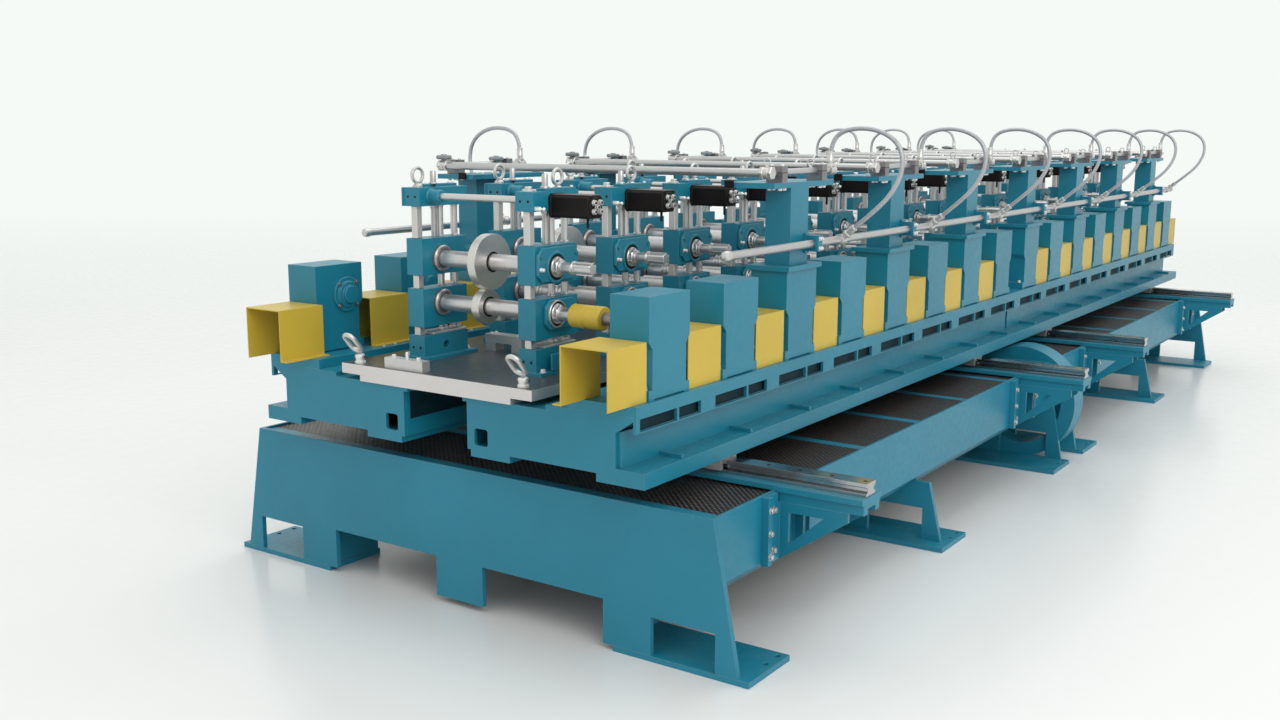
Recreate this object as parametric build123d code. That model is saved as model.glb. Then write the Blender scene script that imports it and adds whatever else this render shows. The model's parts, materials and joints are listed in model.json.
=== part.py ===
from build123d import *
import math
import os

# Roll forming machine with sixteen stations on two bed sections, which roll sideways on
# four cross slides over two fabricated base frames. All sizes are in millimetres.
# The model is drawn with x = 0 at the front face of the first gearbox, y = 0 on the
# machine's centre plane and z = 0 on the floor, and shifted to its own centre when written.
# Round parts that turn are true cylinders. Round parts that repeat and stay fixed are bars
# with flat sides, so that sixteen stations stay light.

# Line layout
PITCH = 450.0
STATIONS = 16
SECTION_STATIONS = 8
POWERED = 3
BED_LEAD = 90.0
BED_LENGTH = PITCH * SECTION_STATIONS
BED_X = [-BED_LEAD, -BED_LEAD + BED_LENGTH]
FINE_SIDES = 16
SIDES_12 = 12
COARSE_SIDES = 8
POST_SIDES = 6

# Bed beams
BED_BOTTOM = 612.0
FLANGE_TOP = 665.0
WEB_OUT = 774.0
FLANGE_REACH = 112.0
FLANGE_OUT = WEB_OUT + FLANGE_REACH
FLANGE_W = 187.0
FLANGE_IN = FLANGE_OUT - FLANGE_W
SKIRT_Z = 640.0
WEB_IN = 150.0
WEB_T = 12.0
TOE_IN = WEB_IN + 15.0
TOE_OUT = WEB_IN + 188.0
TOE_Z = 616.0
LIP_Y = WEB_IN - 19.0
LEDGE_BOTTOM = 805.0
LEDGE_TOP = 821.0
LEDGE_OUT = 495.0
BOX_TOP = 837.0
END_SLANT_Z = 780.0
END_T = 14.0
END_WIN = [WEB_IN + 32.0, WEB_IN + 92.0]
END_WIN_Z = [657.0, 717.0]
END_WIN_R = 10.0
RAIL_TOP = 873.0
RAIL_OVER = 81.0
RAIL_Y_OUT = WEB_OUT + RAIL_OVER
RAIL_Y_IN = RAIL_Y_OUT - 270.0
RAIL_BAND = 12.0
BAND_Z = 785.0
WIN_Z = [789.0, 831.0]
WIN_LONG = 213.0
WIN_SHORT = 135.0
WIN_RIB = 11.0
WIN_AT = 20.0
SIDE_PLATE_T = 16.0
RIB_T = 12.0
RIB_H = 14.0

# Base frames
SEAT = 0.3
FOOT_T = 20.0
BASE_MARGIN = 189.0
BASE_HALF = FLANGE_OUT + BASE_MARGIN
BASE_SPLAY = 97.0
TOE_HALF = BASE_HALF + BASE_SPLAY
FOOT_MARGIN = 40.0
FOOT_OUT = TOE_HALF + FOOT_MARGIN
FOOT_W = 522.0
FOOT_IN = FOOT_OUT - FOOT_W
FOOT_LEN = 270.0
BASE_INSET = 103.0
BASE_SHORT = 236.0
FRAME_GAP = 244.0
BASE_LEN = BED_LENGTH - BASE_SHORT
BASE_X = [BASE_INSET - BED_LEAD, BASE_INSET - BED_LEAD + BASE_LEN + FRAME_GAP]
BASE_TOP = 527.0
PLATE_T = 20.0
LEG_HALF = 112.0
LEG_CLEAR = 6.0
LEG_STEP = FOOT_IN - 42.0
FORK_TOP = 176.0
LEG_WIN_IN = TOE_HALF - 332.0
LEG_WIN_OUT = TOE_HALF - 84.0
LEG_WIN_TOP = 154.0
BEAM_T = 12.0
BEAM_LOW = 297.0
BEAM_TUCK = 80.0
BEAM_TUCK_Y = BASE_HALF - BEAM_TUCK
BEAM_TUCK_Z = 225.0
MID_LEG_AT = (BASE_LEN - PLATE_T) / 2
MID_LEG_TOP = 267.0
MID_LEG_LEDGE = 72.0
MID_FOOT_LEAD = 77.0
DECK_T = 6.0
DECK_DROP = 8.0
DECK_BARS = 7
DECK_BAR_W = 50.0
DECK_BAR_H = 52.0
ANCHOR_R = 10.0
ANCHOR_EDGE = 30.0
ANCHOR_GAP = 80.0

# Cross slides
SLIDE_FIRST = 468.0
SLIDE_LAST = 439.0
SLIDE_AT = [SLIDE_FIRST, BASE_LEN - SLIDE_LAST]
SLIDE_W = 144.0
SLIDE_TOP = 545.0
SLIDE_DEPTH = 55.0
SLIDE_IN = FLANGE_OUT + 114.0
SLIDE_OVERHANG = 320.0
SLIDE_REACH = BASE_HALF + SLIDE_OVERHANG
SLIDE_LIP = 12.0
BRACKET_T = 12.0
BRACKET_DROP = 202.0
BRACKET_TIP = SLIDE_REACH - 55.0
BRACKET_RIM = 34.0
PAD_REACH = 160.0
PAD_T = 14.0
PAD_STRIP = 26.0
PAD_TOP = BASE_TOP - 3.0
RAIL_W = 70.0
RAIL_H = 46.0
RAIL_WAIST = 14.0
CARRIAGE_GAP = 0.5
CARRIAGE_SKIRT = 34.0
CARRIAGE_CHEEK = 18.0
CARRIAGE_Y = [[350.0, 470.0], [FLANGE_OUT - 156.0, FLANGE_OUT - 36.0]]

# Cable guide ring between the two base frames
RING_R = 296.0
RING_WALL = 72.0
RING_LEN = 155.0
RING_Y = -BASE_HALF + 150.0
RING_Z = 302.0

# Tooling plates
TOOL_HALF = 447.0
TOOL_STEP = 355.0
TOOL_LEAD = 102.0
TOOL_BOTTOM = 843.0
TOOL_TOP = 880.0
TOOL_SPAN = 4
TOOL_GAP = 1.0

# Gearboxes and guards
BOX_LEN = 235.0
BOX_OUT = RAIL_Y_OUT - 14.0
BOX_W = 152.0
BOX_IN = BOX_OUT - BOX_W
BOX_BOTTOM = 877.0
BOX_ROOF = 1206.0
BOX_FOOT = 30.0
POCKET_W = 20.0
POCKET_Z = [907.0, 1036.0]
POCKET_TOP = 1060.0
LIP_OVER = 14.0
LIP_H = 18.0
GUARD_OUT = RAIL_Y_OUT - 21.0
GUARD_W = 184.0
GUARD_IN = GUARD_OUT - GUARD_W
GUARD_T = 4.0
GUARD_TOP = 1064.0
GUARD_LEN = 207.0
GUARD_GAP = 4.0
GUARD_FOOT = 30.0
HUB_R = [36.0, 60.0]
HUB_X = [198.0, 152.0]
HUB_LEN = 16.0
HUB_BOSS = 16.0
HUB_Z = 1088.0

# Columns and portals
COLUMN_LEN = 140.0
COLUMN_W = 106.0
COLUMN_OUT = BOX_OUT - 17.0
COLUMN_IN = COLUMN_OUT - COLUMN_W
COLUMN_WALL = 8.0
COLUMN_FIRST = 2
COLUMN_STEP = 2
CAP_LEN = 477.0
CAP_SHIFT = 40.0
CAP_W = 202.0
CAP_OUT = COLUMN_OUT
CAP_IN = CAP_OUT - CAP_W
CAP_BOTTOM = 1510.0
CAP_T = 20.0
CAP_TOP = CAP_BOTTOM + CAP_T
STOP_SIZE = 28.0
STOP_T = 12.0
STOP_W = 34.0
STOP_IN = [36.0, 0.0]
CLAMP_DX = 159.0
CLAMP_W = 38.0
CLAMP_LEN = 68.0
CLAMP_H = 60.0
PIPE_Y = CAP_OUT - CLAMP_LEN / 2
PIPE_Z = CAP_TOP + 36.0
PIPE_R = 13.0
PIPE_PLAY = 0.3
TUBE_R = 16.0
TUBE_AT = 233.0
UNION_R = 25.0
UNION_LEN = 50.0
TEE_AT = 272.0
TEE_LEN = 46.0
TEE_R = 21.0
RISER_R = 12.0
KNOB_R = 24.0
KNOB_H = 12.0
KNOB_LOBES = 6
KNOB_STEM_R = 7.0
KNOB_STEM = 18.0
SIDE_TUBE_R = 15.0
SIDE_TUBE_Y = COLUMN_OUT + 36.0
SIDE_TUBE_Z = 1300.0
SIDE_TUBE_X = [420.0, 6830.0]
ARM_LEN = 30.0
ARM_H = 60.0
ARM_OVER = 12.0
TAP_R = 21.0
TAP_LEN = 40.0

# Hoses from the tees on the cap plates to the taps on the side tubes
HOSE_R = 7.0
HOSE_SIDES = 6
HOSE_LEAN = 0.158
HOSE_END = [48.0, 39.0]
HOSE_START_Z = 1600.0
HOSE_POINTS = [(0.0, 70.0), (-56.0, 126.0), (-188.0, 130.0), (-290.0, 72.0), (-310.0, -25.0),
               (-272.0, -120.0), (-199.0, -195.0)]

# Roll stands
PILLAR_IN = 225.0
PILLAR_OUT = 302.0
CHOCK_X = [99.0, 333.0]
STAND_FOOT_X = [90.0, 367.0]
STAND_FOOT_Y = [PILLAR_IN - 21.0, PILLAR_OUT + 28.0]
STAND_FOOT_T = 12.0
BLOCK_TOP = 970.0
BLOCK_HOLE_R = 15.0
BLOCK_HOLE_Z = 927.0
LOW_CHOCK_Z = [1002.0, 1143.0]
UP_CHOCK_Z = [1193.0, 1327.0]
HEAD_Z = [1444.0, 1511.0]
HEAD_X = [92.0, 345.0]
HEAD_PLATE = 10.0
HEAD_PLATE_W = 40.0
HEAD_PLATE_X = [160.0, 330.0]
HEAD_SIDE = 7.0
SHAFT_X = 198.0
LOW_SHAFT_Z = 1088.0
UP_SHAFT_Z = 1251.0
SHAFT_R = 30.0
SHAFT_PLAY = 0.05
UP_ROLL_Y = -11.0
LOW_ROLL_Y = 9.0
ROLL_T = 34.0
UP_ROLL_R = 100.5
SHEET_GAP = 1.0
UP_ROLLS = 2
LOW_ROLLS = 1
SPACER_R = 35.0
SPACER_T = 7.0
SPACER_STEP = 16.0
SPACERS = 3
SPACER_Y = [92.0, -18.0]
FRONT_BAR = 28.0
FRONT_BAR_X = 116.0
POST_R = 13.0
POST_X = [236.0, 312.0]
JACK_R = 9.0
JACK_X = [232.0, 300.0]
PAD_PLATE_X = [150.0, 330.0]
PAD_PLATE_T = 8.0
SPINDLE_R = 11.0
SPINDLE_X = 205.0
SPINDLE_TOP = 1569.0
TOP_NUT_R = 21.0
TOP_NUT_T = 5.0
TOP_NUT_STEM = 13.0
TOP_NUT_H = 12.0
EYE_X = [125.0, 300.0]
EYE_R = [33.0, 20.0]
EYE_T = 12.0
EYE_Z = 1555.0
EYE_COLLAR_R = 18.0
EYE_COLLAR_T = 12.0
BEARING_R = 49.0
BEARING_T = 18.0
COVER_T = 14.0
COVER_CUT = 24.0
UP_COVER = [-95.0, 127.0, -48.0, 70.0]
LOW_COVER = [-58.0, 118.0, -54.0, 50.0]
SEAL_R = 47.0
SEAL_T = 8.0
SPLINE_R = 24.0
SPLINE_ROOT = 20.0
SPLINE_TEETH = 6
SPLINE_LEN = 70.0
SPLINE_END = 474.0
LOW_STUB_R = 22.0
SLEEVE_R = 41.0
SLEEVE_Y = [392.0, 524.0]
DRIVE_ROD_R = 12.0
DRIVE_ROD_X = 150.0
DRIVE_ROD_Z = 1480.0
ROD_SLEEVE_R = 22.0
ROD_SLEEVE_LEN = 55.0
MOTOR_X = [180.0, 262.0]
MOTOR_LEN = 170.0
MOTOR_Z = [1422.0, 1500.0]
MOTOR_CHAMFER = 16.0
PLUG_R = 9.0
PLUG_LEN = 14.0
PLUG_STEP = 13.0

# Lifting links, keeper bar and strip guide on the first tooling plate
LINK_R = 30.0
LINK_WIRE = 7.0
LINK_TILT = 50.0
LINK_BLOCK = 34.0
LINK_X = -70.0
LINK_Y = 385.0
KEEPER_X = [-85.0, -47.0]
KEEPER_Y = [60.0, 245.0]
KEEPER_H = 38.0
GUIDE_X = [405.0, 455.0]
GUIDE_Y = [20.0, 200.0]
GUIDE_H = 65.0
GUIDE_LEG = 50.0

SEAL_FACE = -PILLAR_OUT - COVER_T - SEAL_T
HUB_FACE = -BOX_IN + HUB_LEN + HUB_BOSS
LOW_ROLL_R = UP_SHAFT_Z - LOW_SHAFT_Z - UP_ROLL_R - SHEET_GAP
NEAR_X = -GUARD_LEN - GUARD_GAP
FAR_X = PITCH * (STATIONS - 1) + BOX_LEN + GUARD_GAP + GUARD_LEN
MID_X = (NEAR_X + FAR_X) / 2
MID_Y = (FOOT_OUT - SLIDE_REACH) / 2
SIDES = [1, -1]

os.makedirs("parts", exist_ok=True)


def block(xs, ys, zs):
    """Return a box between three pairs of bounds, given in any order."""
    size = [abs(b - a) for a, b in (xs, ys, zs)]
    centre = [(a + b) / 2 for a, b in (xs, ys, zs)]
    return Pos(*centre) * Box(*size)


def side_block(xs, side, ys, zs):
    """Return a box on one side of the centre plane."""
    return block(xs, [side * y for y in ys], zs)


def pin(radius, length, sides):
    """Return an upright bar: round, or with a few flat sides, one of them square to x."""
    if sides:
        return extrude(RegularPolygon(radius, sides, major_radius=True, rotation=180 / sides), length)
    return Pos(0, 0, length / 2) * Cylinder(radius, length)


def bar_x(y, z, radius, x0, x1, sides=0):
    """Return a bar that runs along the machine."""
    return Pos(min(x0, x1), y, z) * Rot(0, 90, 0) * pin(radius, abs(x1 - x0), sides)


def bar_y(x, z, radius, y0, y1, sides=0):
    """Return a bar that runs across the machine."""
    return Pos(x, min(y0, y1), z) * Rot(-90, 0, 0) * pin(radius, abs(y1 - y0), sides)


def bar_z(x, y, radius, z0, z1, sides=0):
    """Return an upright bar."""
    return Pos(x, y, min(z0, z1)) * pin(radius, abs(z1 - z0), sides)


def slab_x(points, x0, x1):
    """Extrude a profile given as (y, z) points along the machine, from x0 to x1."""
    wire = Polyline(*[(x0, y, z) for y, z in points], close=True)
    return extrude(make_face(wire), x1 - x0, dir=(1, 0, 0))


def slab_y(points, y0, y1):
    """Extrude a profile given as (x, z) points across the machine, from y0 to y1."""
    wire = Polyline(*[(x, y0, z) for x, z in points], close=True)
    return extrude(make_face(wire), y1 - y0, dir=(0, 1, 0))


def mirrored(points, side):
    """Return profile points for one side of the centre plane."""
    return [(side * y, z) for y, z in points]


def write(name, solids):
    """Write one node, shifted from the drawing origin to the machine's own centre."""
    body = solids if not isinstance(solids, list) else Compound(children=solids)
    export_step(body.moved(Location((-MID_X, -MID_Y, 0))), f"parts/{name}.step")


def station_x(i):
    return PITCH * i


def sides_of(i):
    """Return the number of flat sides for round fixed parts at a station."""
    return FINE_SIDES if i < POWERED else COARSE_SIDES


def end_frame(x):
    """Return one base end plate: sloping edges, three legs, two fork pockets and two windows."""
    outline = [
        (LEG_HALF, FORK_TOP), (LEG_HALF, FOOT_T + LEG_CLEAR), (-LEG_HALF, FOOT_T + LEG_CLEAR),
        (-LEG_HALF, FORK_TOP), (-LEG_STEP, FORK_TOP), (-LEG_STEP, FOOT_T), (-TOE_HALF, FOOT_T),
        (-BASE_HALF, BASE_TOP), (BASE_HALF, BASE_TOP), (TOE_HALF, FOOT_T), (LEG_STEP, FOOT_T),
        (LEG_STEP, FORK_TOP),
    ]
    plate = slab_x(outline, x, x + PLATE_T)
    for side in SIDES:
        plate -= side_block([x - 1, x + PLATE_T + 1], side, [LEG_WIN_IN, LEG_WIN_OUT],
                            [FOOT_T, LEG_WIN_TOP])
    return plate


def fold_y(z):
    """Return the outer face of the side beam's folded band at a height, with a seat gap."""
    rise = BEAM_LOW - BEAM_TUCK_Z
    gap = SEAT * math.hypot(BEAM_TUCK, rise) / rise
    return BEAM_TUCK_Y + (z - BEAM_TUCK_Z) * BEAM_TUCK / rise + gap


def middle_leg(x, side):
    """Return a tapered leg plate with a window, which follows the fold of its side beam."""
    inner = BEAM_TUCK_Y - BEAM_T - SEAT
    notch = BEAM_TUCK_Z - SEAT
    outline = [
        (LEG_STEP, FOOT_T), (LEG_STEP, MID_LEG_TOP), (inner, MID_LEG_TOP), (inner, notch),
        (fold_y(notch), notch), (fold_y(MID_LEG_TOP), MID_LEG_TOP),
        (fold_y(MID_LEG_TOP) + MID_LEG_LEDGE, MID_LEG_TOP), (TOE_HALF, FOOT_T),
    ]
    plate = slab_x(mirrored(outline, side), x, x + PLATE_T)
    return plate - side_block([x - 1, x + PLATE_T + 1], side, [LEG_WIN_IN, LEG_WIN_OUT],
                              [FOOT_T, LEG_WIN_TOP])


def foot_plate(x, side):
    """Return a floor plate with two anchor holes near its outer edge."""
    plate = side_block([x, x + FOOT_LEN], side, [FOOT_IN, FOOT_OUT], [0, FOOT_T])
    for k in range(2):
        hole_x = x + FOOT_LEN - ANCHOR_EDGE - k * ANCHOR_GAP
        plate -= bar_z(hole_x, side * (FOOT_OUT - ANCHOR_EDGE), ANCHOR_R, -1, FOOT_T + 1)
    return plate


def foot_starts(x0):
    """Return the near x of the three feet along one base frame."""
    return [x0, x0 + MID_LEG_AT - MID_FOOT_LEAD, x0 + BASE_LEN - FOOT_LEN]


def side_beam(x0, side):
    """Return a side beam: an upright web with its lower edge folded inwards."""
    outer = [(BASE_HALF, BASE_TOP), (BASE_HALF, BEAM_LOW), (BEAM_TUCK_Y, BEAM_TUCK_Z)]
    inner = [(BEAM_TUCK_Y - BEAM_T, BEAM_TUCK_Z), (BASE_HALF - BEAM_T, BEAM_LOW + 4),
             (BASE_HALF - BEAM_T, BASE_TOP)]
    return slab_x(mirrored(outer + inner, side), x0 + PLATE_T, x0 + BASE_LEN - PLATE_T)


def deck_plate(x0, x1):
    half = BASE_HALF - BEAM_T - 0.5
    return block([x0, x1], [-half, half], [BASE_TOP - DECK_DROP - DECK_T, BASE_TOP - DECK_DROP])


def bars_for(x0):
    """Return the near x of each deck bar of one base frame."""
    inner = BASE_LEN - 2 * PLATE_T
    step = (inner - DECK_BAR_W) / (DECK_BARS - 1)
    return [x0 + PLATE_T + k * step for k in range(DECK_BARS)]


def deck_bar(x):
    """Return a cross bar that carries the deck plates beside it."""
    half = BASE_HALF - BEAM_T - 0.5
    top = BASE_TOP - DECK_DROP
    return block([x, x + DECK_BAR_W], [-half, half], [top - DECK_BAR_H, top])


def slide_beam(x):
    """Return a cross slide beam with a lipped top and a grooved underside."""
    half = SLIDE_W / 2
    top = SLIDE_TOP
    low = top - SLIDE_DEPTH
    lip = SLIDE_LIP
    outline = [(x - half, top), (x + half, top), (x + half, top - 20), (x + half - lip, top - 20),
               (x + half - lip, low), (x + 30, low), (x + 30, low + 20), (x - 30, low + 20),
               (x - 30, low), (x - half + lip, low), (x - half + lip, top - 20), (x - half, top - 20)]
    return slab_y(outline, -SLIDE_REACH, -BASE_HALF)


def slide_plate(x):
    """Return the flat top plate of a slide where it crosses the base frame."""
    half = SLIDE_W / 2
    return block([x - half, x + half], [-BASE_HALF, SLIDE_IN], [BASE_TOP, SLIDE_TOP])


def rail(x):
    """Return a waisted guide rail."""
    half = RAIL_W / 2
    z0 = SLIDE_TOP
    z1 = SLIDE_TOP + RAIL_H
    waist = half - RAIL_WAIST
    outline = [(x - half, z0), (x + half, z0), (x + half, z0 + 12), (x + waist, z0 + 18),
               (x + waist, z1 - 18), (x + half, z1 - 12), (x + half, z1), (x - half, z1),
               (x - half, z1 - 12), (x - waist, z1 - 18), (x - waist, z0 + 18), (x - half, z0 + 12)]
    return slab_y(outline, -SLIDE_REACH + 5, SLIDE_IN)


def bracket(x):
    """Return a bracket: two triangular webs with windows on a flanged mounting plate."""
    low = SLIDE_TOP - SLIDE_DEPTH
    root = BASE_HALF + PAD_T
    rim = BRACKET_RIM
    outline = [(-root, low), (-BRACKET_TIP, low), (-BRACKET_TIP, low - rim), (-root, low - BRACKET_DROP)]
    slope = (BRACKET_DROP - rim) / (BRACKET_TIP - root)
    window_out = BRACKET_TIP - 2.6 * rim
    window = [(-root - rim, low - rim), (-window_out, low - rim),
              (-root - rim, low - BRACKET_DROP + rim * (1 + slope))]
    near = x - SLIDE_W / 2 + SLIDE_LIP
    web = slab_x(outline, near, near + BRACKET_T)
    web -= slab_x(window, near - 1, near + BRACKET_T + 1)
    far = SLIDE_W - 2 * SLIDE_LIP - BRACKET_T
    reach = PAD_REACH
    notch = SLIDE_W / 2 + 2
    foot = low - BRACKET_DROP
    pad = slab_y([(x - reach, foot), (x + reach, foot), (x + reach, PAD_TOP), (x + notch, PAD_TOP),
                  (x + notch, low), (x - notch, low), (x - notch, PAD_TOP), (x - reach, PAD_TOP)],
                 -root, -BASE_HALF)
    strips = [block([x + k * reach, x + k * (reach - PAD_STRIP)], [-root - PAD_T, -root], [foot, PAD_TOP])
              for k in SIDES]
    return Compound(children=[web + Pos(far, 0, 0) * web + pad + strips[0] + strips[1]])


def guide_ring():
    """Return the hollow ring beside the end plate of the first base frame."""
    x0 = BASE_X[0] + BASE_LEN
    outer = bar_x(RING_Y, RING_Z, RING_R, x0, x0 + RING_LEN)
    return outer - bar_x(RING_Y, RING_Z, RING_R - RING_WALL, x0 - 1, x0 + RING_LEN + 1)


def bed_profile(side, rail_step):
    """Return the outline of a bed beam, or of its end plate where it also closes the rail's end."""
    top = [(LEDGE_OUT, BOX_TOP), (WEB_OUT, BOX_TOP)]
    if rail_step:
        lip = RAIL_Y_OUT - RAIL_BAND
        top = [(LEDGE_OUT, BOX_TOP), (lip, BOX_TOP), (lip, END_SLANT_Z + 45), (WEB_OUT, END_SLANT_Z)]
    outline = [(WEB_IN, SKIRT_Z), (WEB_IN, LEDGE_BOTTOM), (LIP_Y, LEDGE_BOTTOM), (LIP_Y, LEDGE_TOP),
               (LEDGE_OUT, LEDGE_TOP)] + top + [
        (WEB_OUT, FLANGE_TOP), (FLANGE_OUT, FLANGE_TOP), (FLANGE_OUT, BED_BOTTOM), (FLANGE_IN, BED_BOTTOM),
        (FLANGE_IN, SKIRT_Z), (TOE_OUT, SKIRT_Z), (TOE_OUT, TOE_Z), (TOE_IN, TOE_Z), (TOE_IN, SKIRT_Z)]
    return mirrored(outline, side)


def bed_beam(x0, side):
    """Return one hollow bed beam with its outer and inner bottom flanges."""
    cavity = [(WEB_IN + WEB_T, SKIRT_Z + WEB_T), (WEB_OUT - WEB_T, SKIRT_Z + WEB_T),
              (WEB_OUT - WEB_T, LEDGE_BOTTOM), (WEB_IN + WEB_T, LEDGE_BOTTOM)]
    start = x0 + END_T
    stop = x0 + BED_LENGTH - END_T
    beam = slab_x(bed_profile(side, False), start, stop)
    return beam - slab_x(mirrored(cavity, side), start - 1, stop + 1)


def end_plate(x, side):
    """Return the end plate of a bed beam, with its rounded window."""
    plate = slab_x(bed_profile(side, True), x, x + END_T)
    width = END_WIN[1] - END_WIN[0]
    height = END_WIN_Z[1] - END_WIN_Z[0]
    centre = side * (END_WIN[0] + END_WIN[1]) / 2
    hole = Pos(x - 1, centre, (END_WIN_Z[0] + END_WIN_Z[1]) / 2) * Rot(0, 90, 0) * extrude(
        RectangleRounded(height, width, END_WIN_R), END_T + 2)
    return plate - hole


def gear_rail(x0, side):
    """Return the rail that carries the gearboxes, with the windows of its outer band."""
    outline = [
        (RAIL_Y_IN, BOX_TOP), (RAIL_Y_IN, RAIL_TOP), (RAIL_Y_OUT, RAIL_TOP), (RAIL_Y_OUT, BAND_Z),
        (RAIL_Y_OUT - RAIL_BAND, BAND_Z), (RAIL_Y_OUT - RAIL_BAND, BOX_TOP),
    ]
    body = slab_x(mirrored(outline, side), x0, x0 + BED_LENGTH)
    for k in range(SECTION_STATIONS):
        start = x0 + k * PITCH + WIN_AT
        reach = [RAIL_Y_OUT - RAIL_BAND - 1, RAIL_Y_OUT + 1]
        body -= side_block([start, start + WIN_LONG], side, reach, WIN_Z)
        start += WIN_LONG + WIN_RIB
        body -= side_block([start, start + WIN_SHORT], side, reach, WIN_Z)
    return body


def side_plate(x0, side):
    """Return the stiffening plate on the outside of a bed web."""
    return side_block([x0 + END_T, x0 + BED_LENGTH - END_T], side, [WEB_OUT, WEB_OUT + SIDE_PLATE_T],
                      [FLANGE_TOP, BAND_Z - 1])


def flange_rib(x, side):
    """Return one low rib across the outer bottom flange."""
    return side_block([x, x + RIB_T], side, [WEB_OUT + SIDE_PLATE_T, FLANGE_OUT - 8],
                      [FLANGE_TOP, FLANGE_TOP + RIB_H])


def carriage(x, side, span):
    """Return a carriage under a bed beam, which straddles a guide rail."""
    clear = RAIL_W / 2 + CARRIAGE_GAP
    top = BED_BOTTOM if span[0] > FLANGE_IN else SKIRT_Z
    roof = SLIDE_TOP + RAIL_H + CARRIAGE_GAP
    skirt = SLIDE_TOP + RAIL_H - CARRIAGE_SKIRT
    cheek = clear + CARRIAGE_CHEEK
    outline = [(x - cheek, top), (x + cheek, top), (x + cheek, skirt), (x + clear, skirt), (x + clear, roof),
               (x - clear, roof), (x - clear, skirt), (x - cheek, skirt)]
    return slab_y(outline, min(side * s for s in span), max(side * s for s in span))


def tooling_plate(x0, x1):
    """Return one steel tooling plate with its stepped underside."""
    outline = [
        (TOOL_HALF, TOOL_TOP), (TOOL_HALF, TOOL_BOTTOM), (TOOL_STEP, TOOL_BOTTOM), (TOOL_STEP, LEDGE_TOP),
        (-TOOL_STEP, LEDGE_TOP), (-TOOL_STEP, TOOL_BOTTOM), (-TOOL_HALF, TOOL_BOTTOM), (-TOOL_HALF, TOOL_TOP),
    ]
    return slab_x(outline, x0, x1)


def has_column(i):
    return i >= COLUMN_FIRST and (i - COLUMN_FIRST) % COLUMN_STEP == 0


def gearbox(i, side):
    """Return a gearbox on two feet, with a lipped roof where it carries a column."""
    x = station_x(i)
    body = side_block([x, x + BOX_LEN], side, [BOX_IN, BOX_OUT], [BOX_BOTTOM, BOX_ROOF])
    for start in (x, x + BOX_LEN - BOX_FOOT):
        body += side_block([start, start + BOX_FOOT], side, [BOX_IN, BOX_OUT], [RAIL_TOP, BOX_BOTTOM])
    for near, far in ((x, x + POCKET_W), (x + BOX_LEN, x + BOX_LEN - POCKET_W)):
        lip = near - (far - near) / POCKET_W
        pocket = slab_y([(lip, POCKET_Z[0]), (far, POCKET_Z[0]), (far, POCKET_Z[1]), (near, POCKET_TOP),
                         (lip, POCKET_TOP)], -BOX_OUT - 1, BOX_OUT + 1)
        body -= pocket
    if has_column(i):
        body += side_block([x - LIP_OVER, x + BOX_LEN + LIP_OVER], side,
                           [BOX_IN - LIP_OVER, BOX_OUT + LIP_OVER], [BOX_ROOF, BOX_ROOF + LIP_H])
    return body


def gearbox_hub(i, side):
    """Return the bearing flange on a gearbox's inner face: wide and low, or long where a shaft ends."""
    flange_r, boss_r = (HUB_R[1], HUB_R[0]) if side > 0 else (HUB_R[0], HUB_R[0] - 4)
    x = station_x(i) + (HUB_X[1] if side > 0 else HUB_X[0])
    step = BOX_IN - HUB_LEN
    flange = bar_y(x, HUB_Z, flange_r, side * step, side * BOX_IN, SIDES_12)
    return flange + bar_y(x, HUB_Z, boss_r, side * (step - HUB_BOSS), side * step, SIDES_12)


def guard(x, side):
    """Return a folded sheet guard, an upside-down U with a small inner foot."""
    points = [
        (GUARD_IN - GUARD_FOOT, RAIL_TOP), (GUARD_IN - GUARD_FOOT, RAIL_TOP + GUARD_T),
        (GUARD_IN, RAIL_TOP + GUARD_T), (GUARD_IN, GUARD_TOP), (GUARD_OUT, GUARD_TOP), (GUARD_OUT, RAIL_TOP),
        (GUARD_OUT - GUARD_T, RAIL_TOP), (GUARD_OUT - GUARD_T, GUARD_TOP - GUARD_T),
        (GUARD_IN + GUARD_T, GUARD_TOP - GUARD_T), (GUARD_IN + GUARD_T, RAIL_TOP),
    ]
    return slab_x(mirrored(points, side), x, x + GUARD_LEN)


def guard_starts():
    """Return the near x of each guard: before each gearbox but at the bed joint, and after the last."""
    starts = [station_x(i) - GUARD_GAP - GUARD_LEN for i in range(STATIONS) if i != SECTION_STATIONS]
    return starts + [station_x(STATIONS - 1) + BOX_LEN + GUARD_GAP]


def column_x(i):
    return station_x(i) + BOX_LEN / 2


def cap_x(i):
    return column_x(i) + CAP_SHIFT


def column(i, side):
    """Return one rectangular tube column."""
    x = column_x(i)
    half = COLUMN_LEN / 2
    z = [BOX_ROOF + LIP_H, CAP_BOTTOM]
    outer = side_block([x - half, x + half], side, [COLUMN_IN, COLUMN_OUT], z)
    wall = COLUMN_WALL
    return outer - side_block([x - half + wall, x + half - wall], side,
                              [COLUMN_IN + wall, COLUMN_OUT - wall], [z[0] - 1, z[1] + 1])


def cap_plate(i, side):
    half = CAP_LEN / 2
    return side_block([cap_x(i) - half, cap_x(i) + half], side, [CAP_IN, CAP_OUT], [CAP_BOTTOM, CAP_TOP])


def stop_blocks(i, side):
    """Return the black blocks on the near and far edges of a cap plate, towards its inner side."""
    z = [CAP_BOTTOM, CAP_BOTTOM + STOP_SIZE]
    y = CAP_IN + (STOP_IN[0] if side > 0 else STOP_IN[1])
    ends = [cap_x(i) - CAP_LEN / 2 - STOP_T, cap_x(i) + CAP_LEN / 2]
    return [side_block([x, x + STOP_T], side, [y, y + STOP_W], z) for x in ends]


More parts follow.
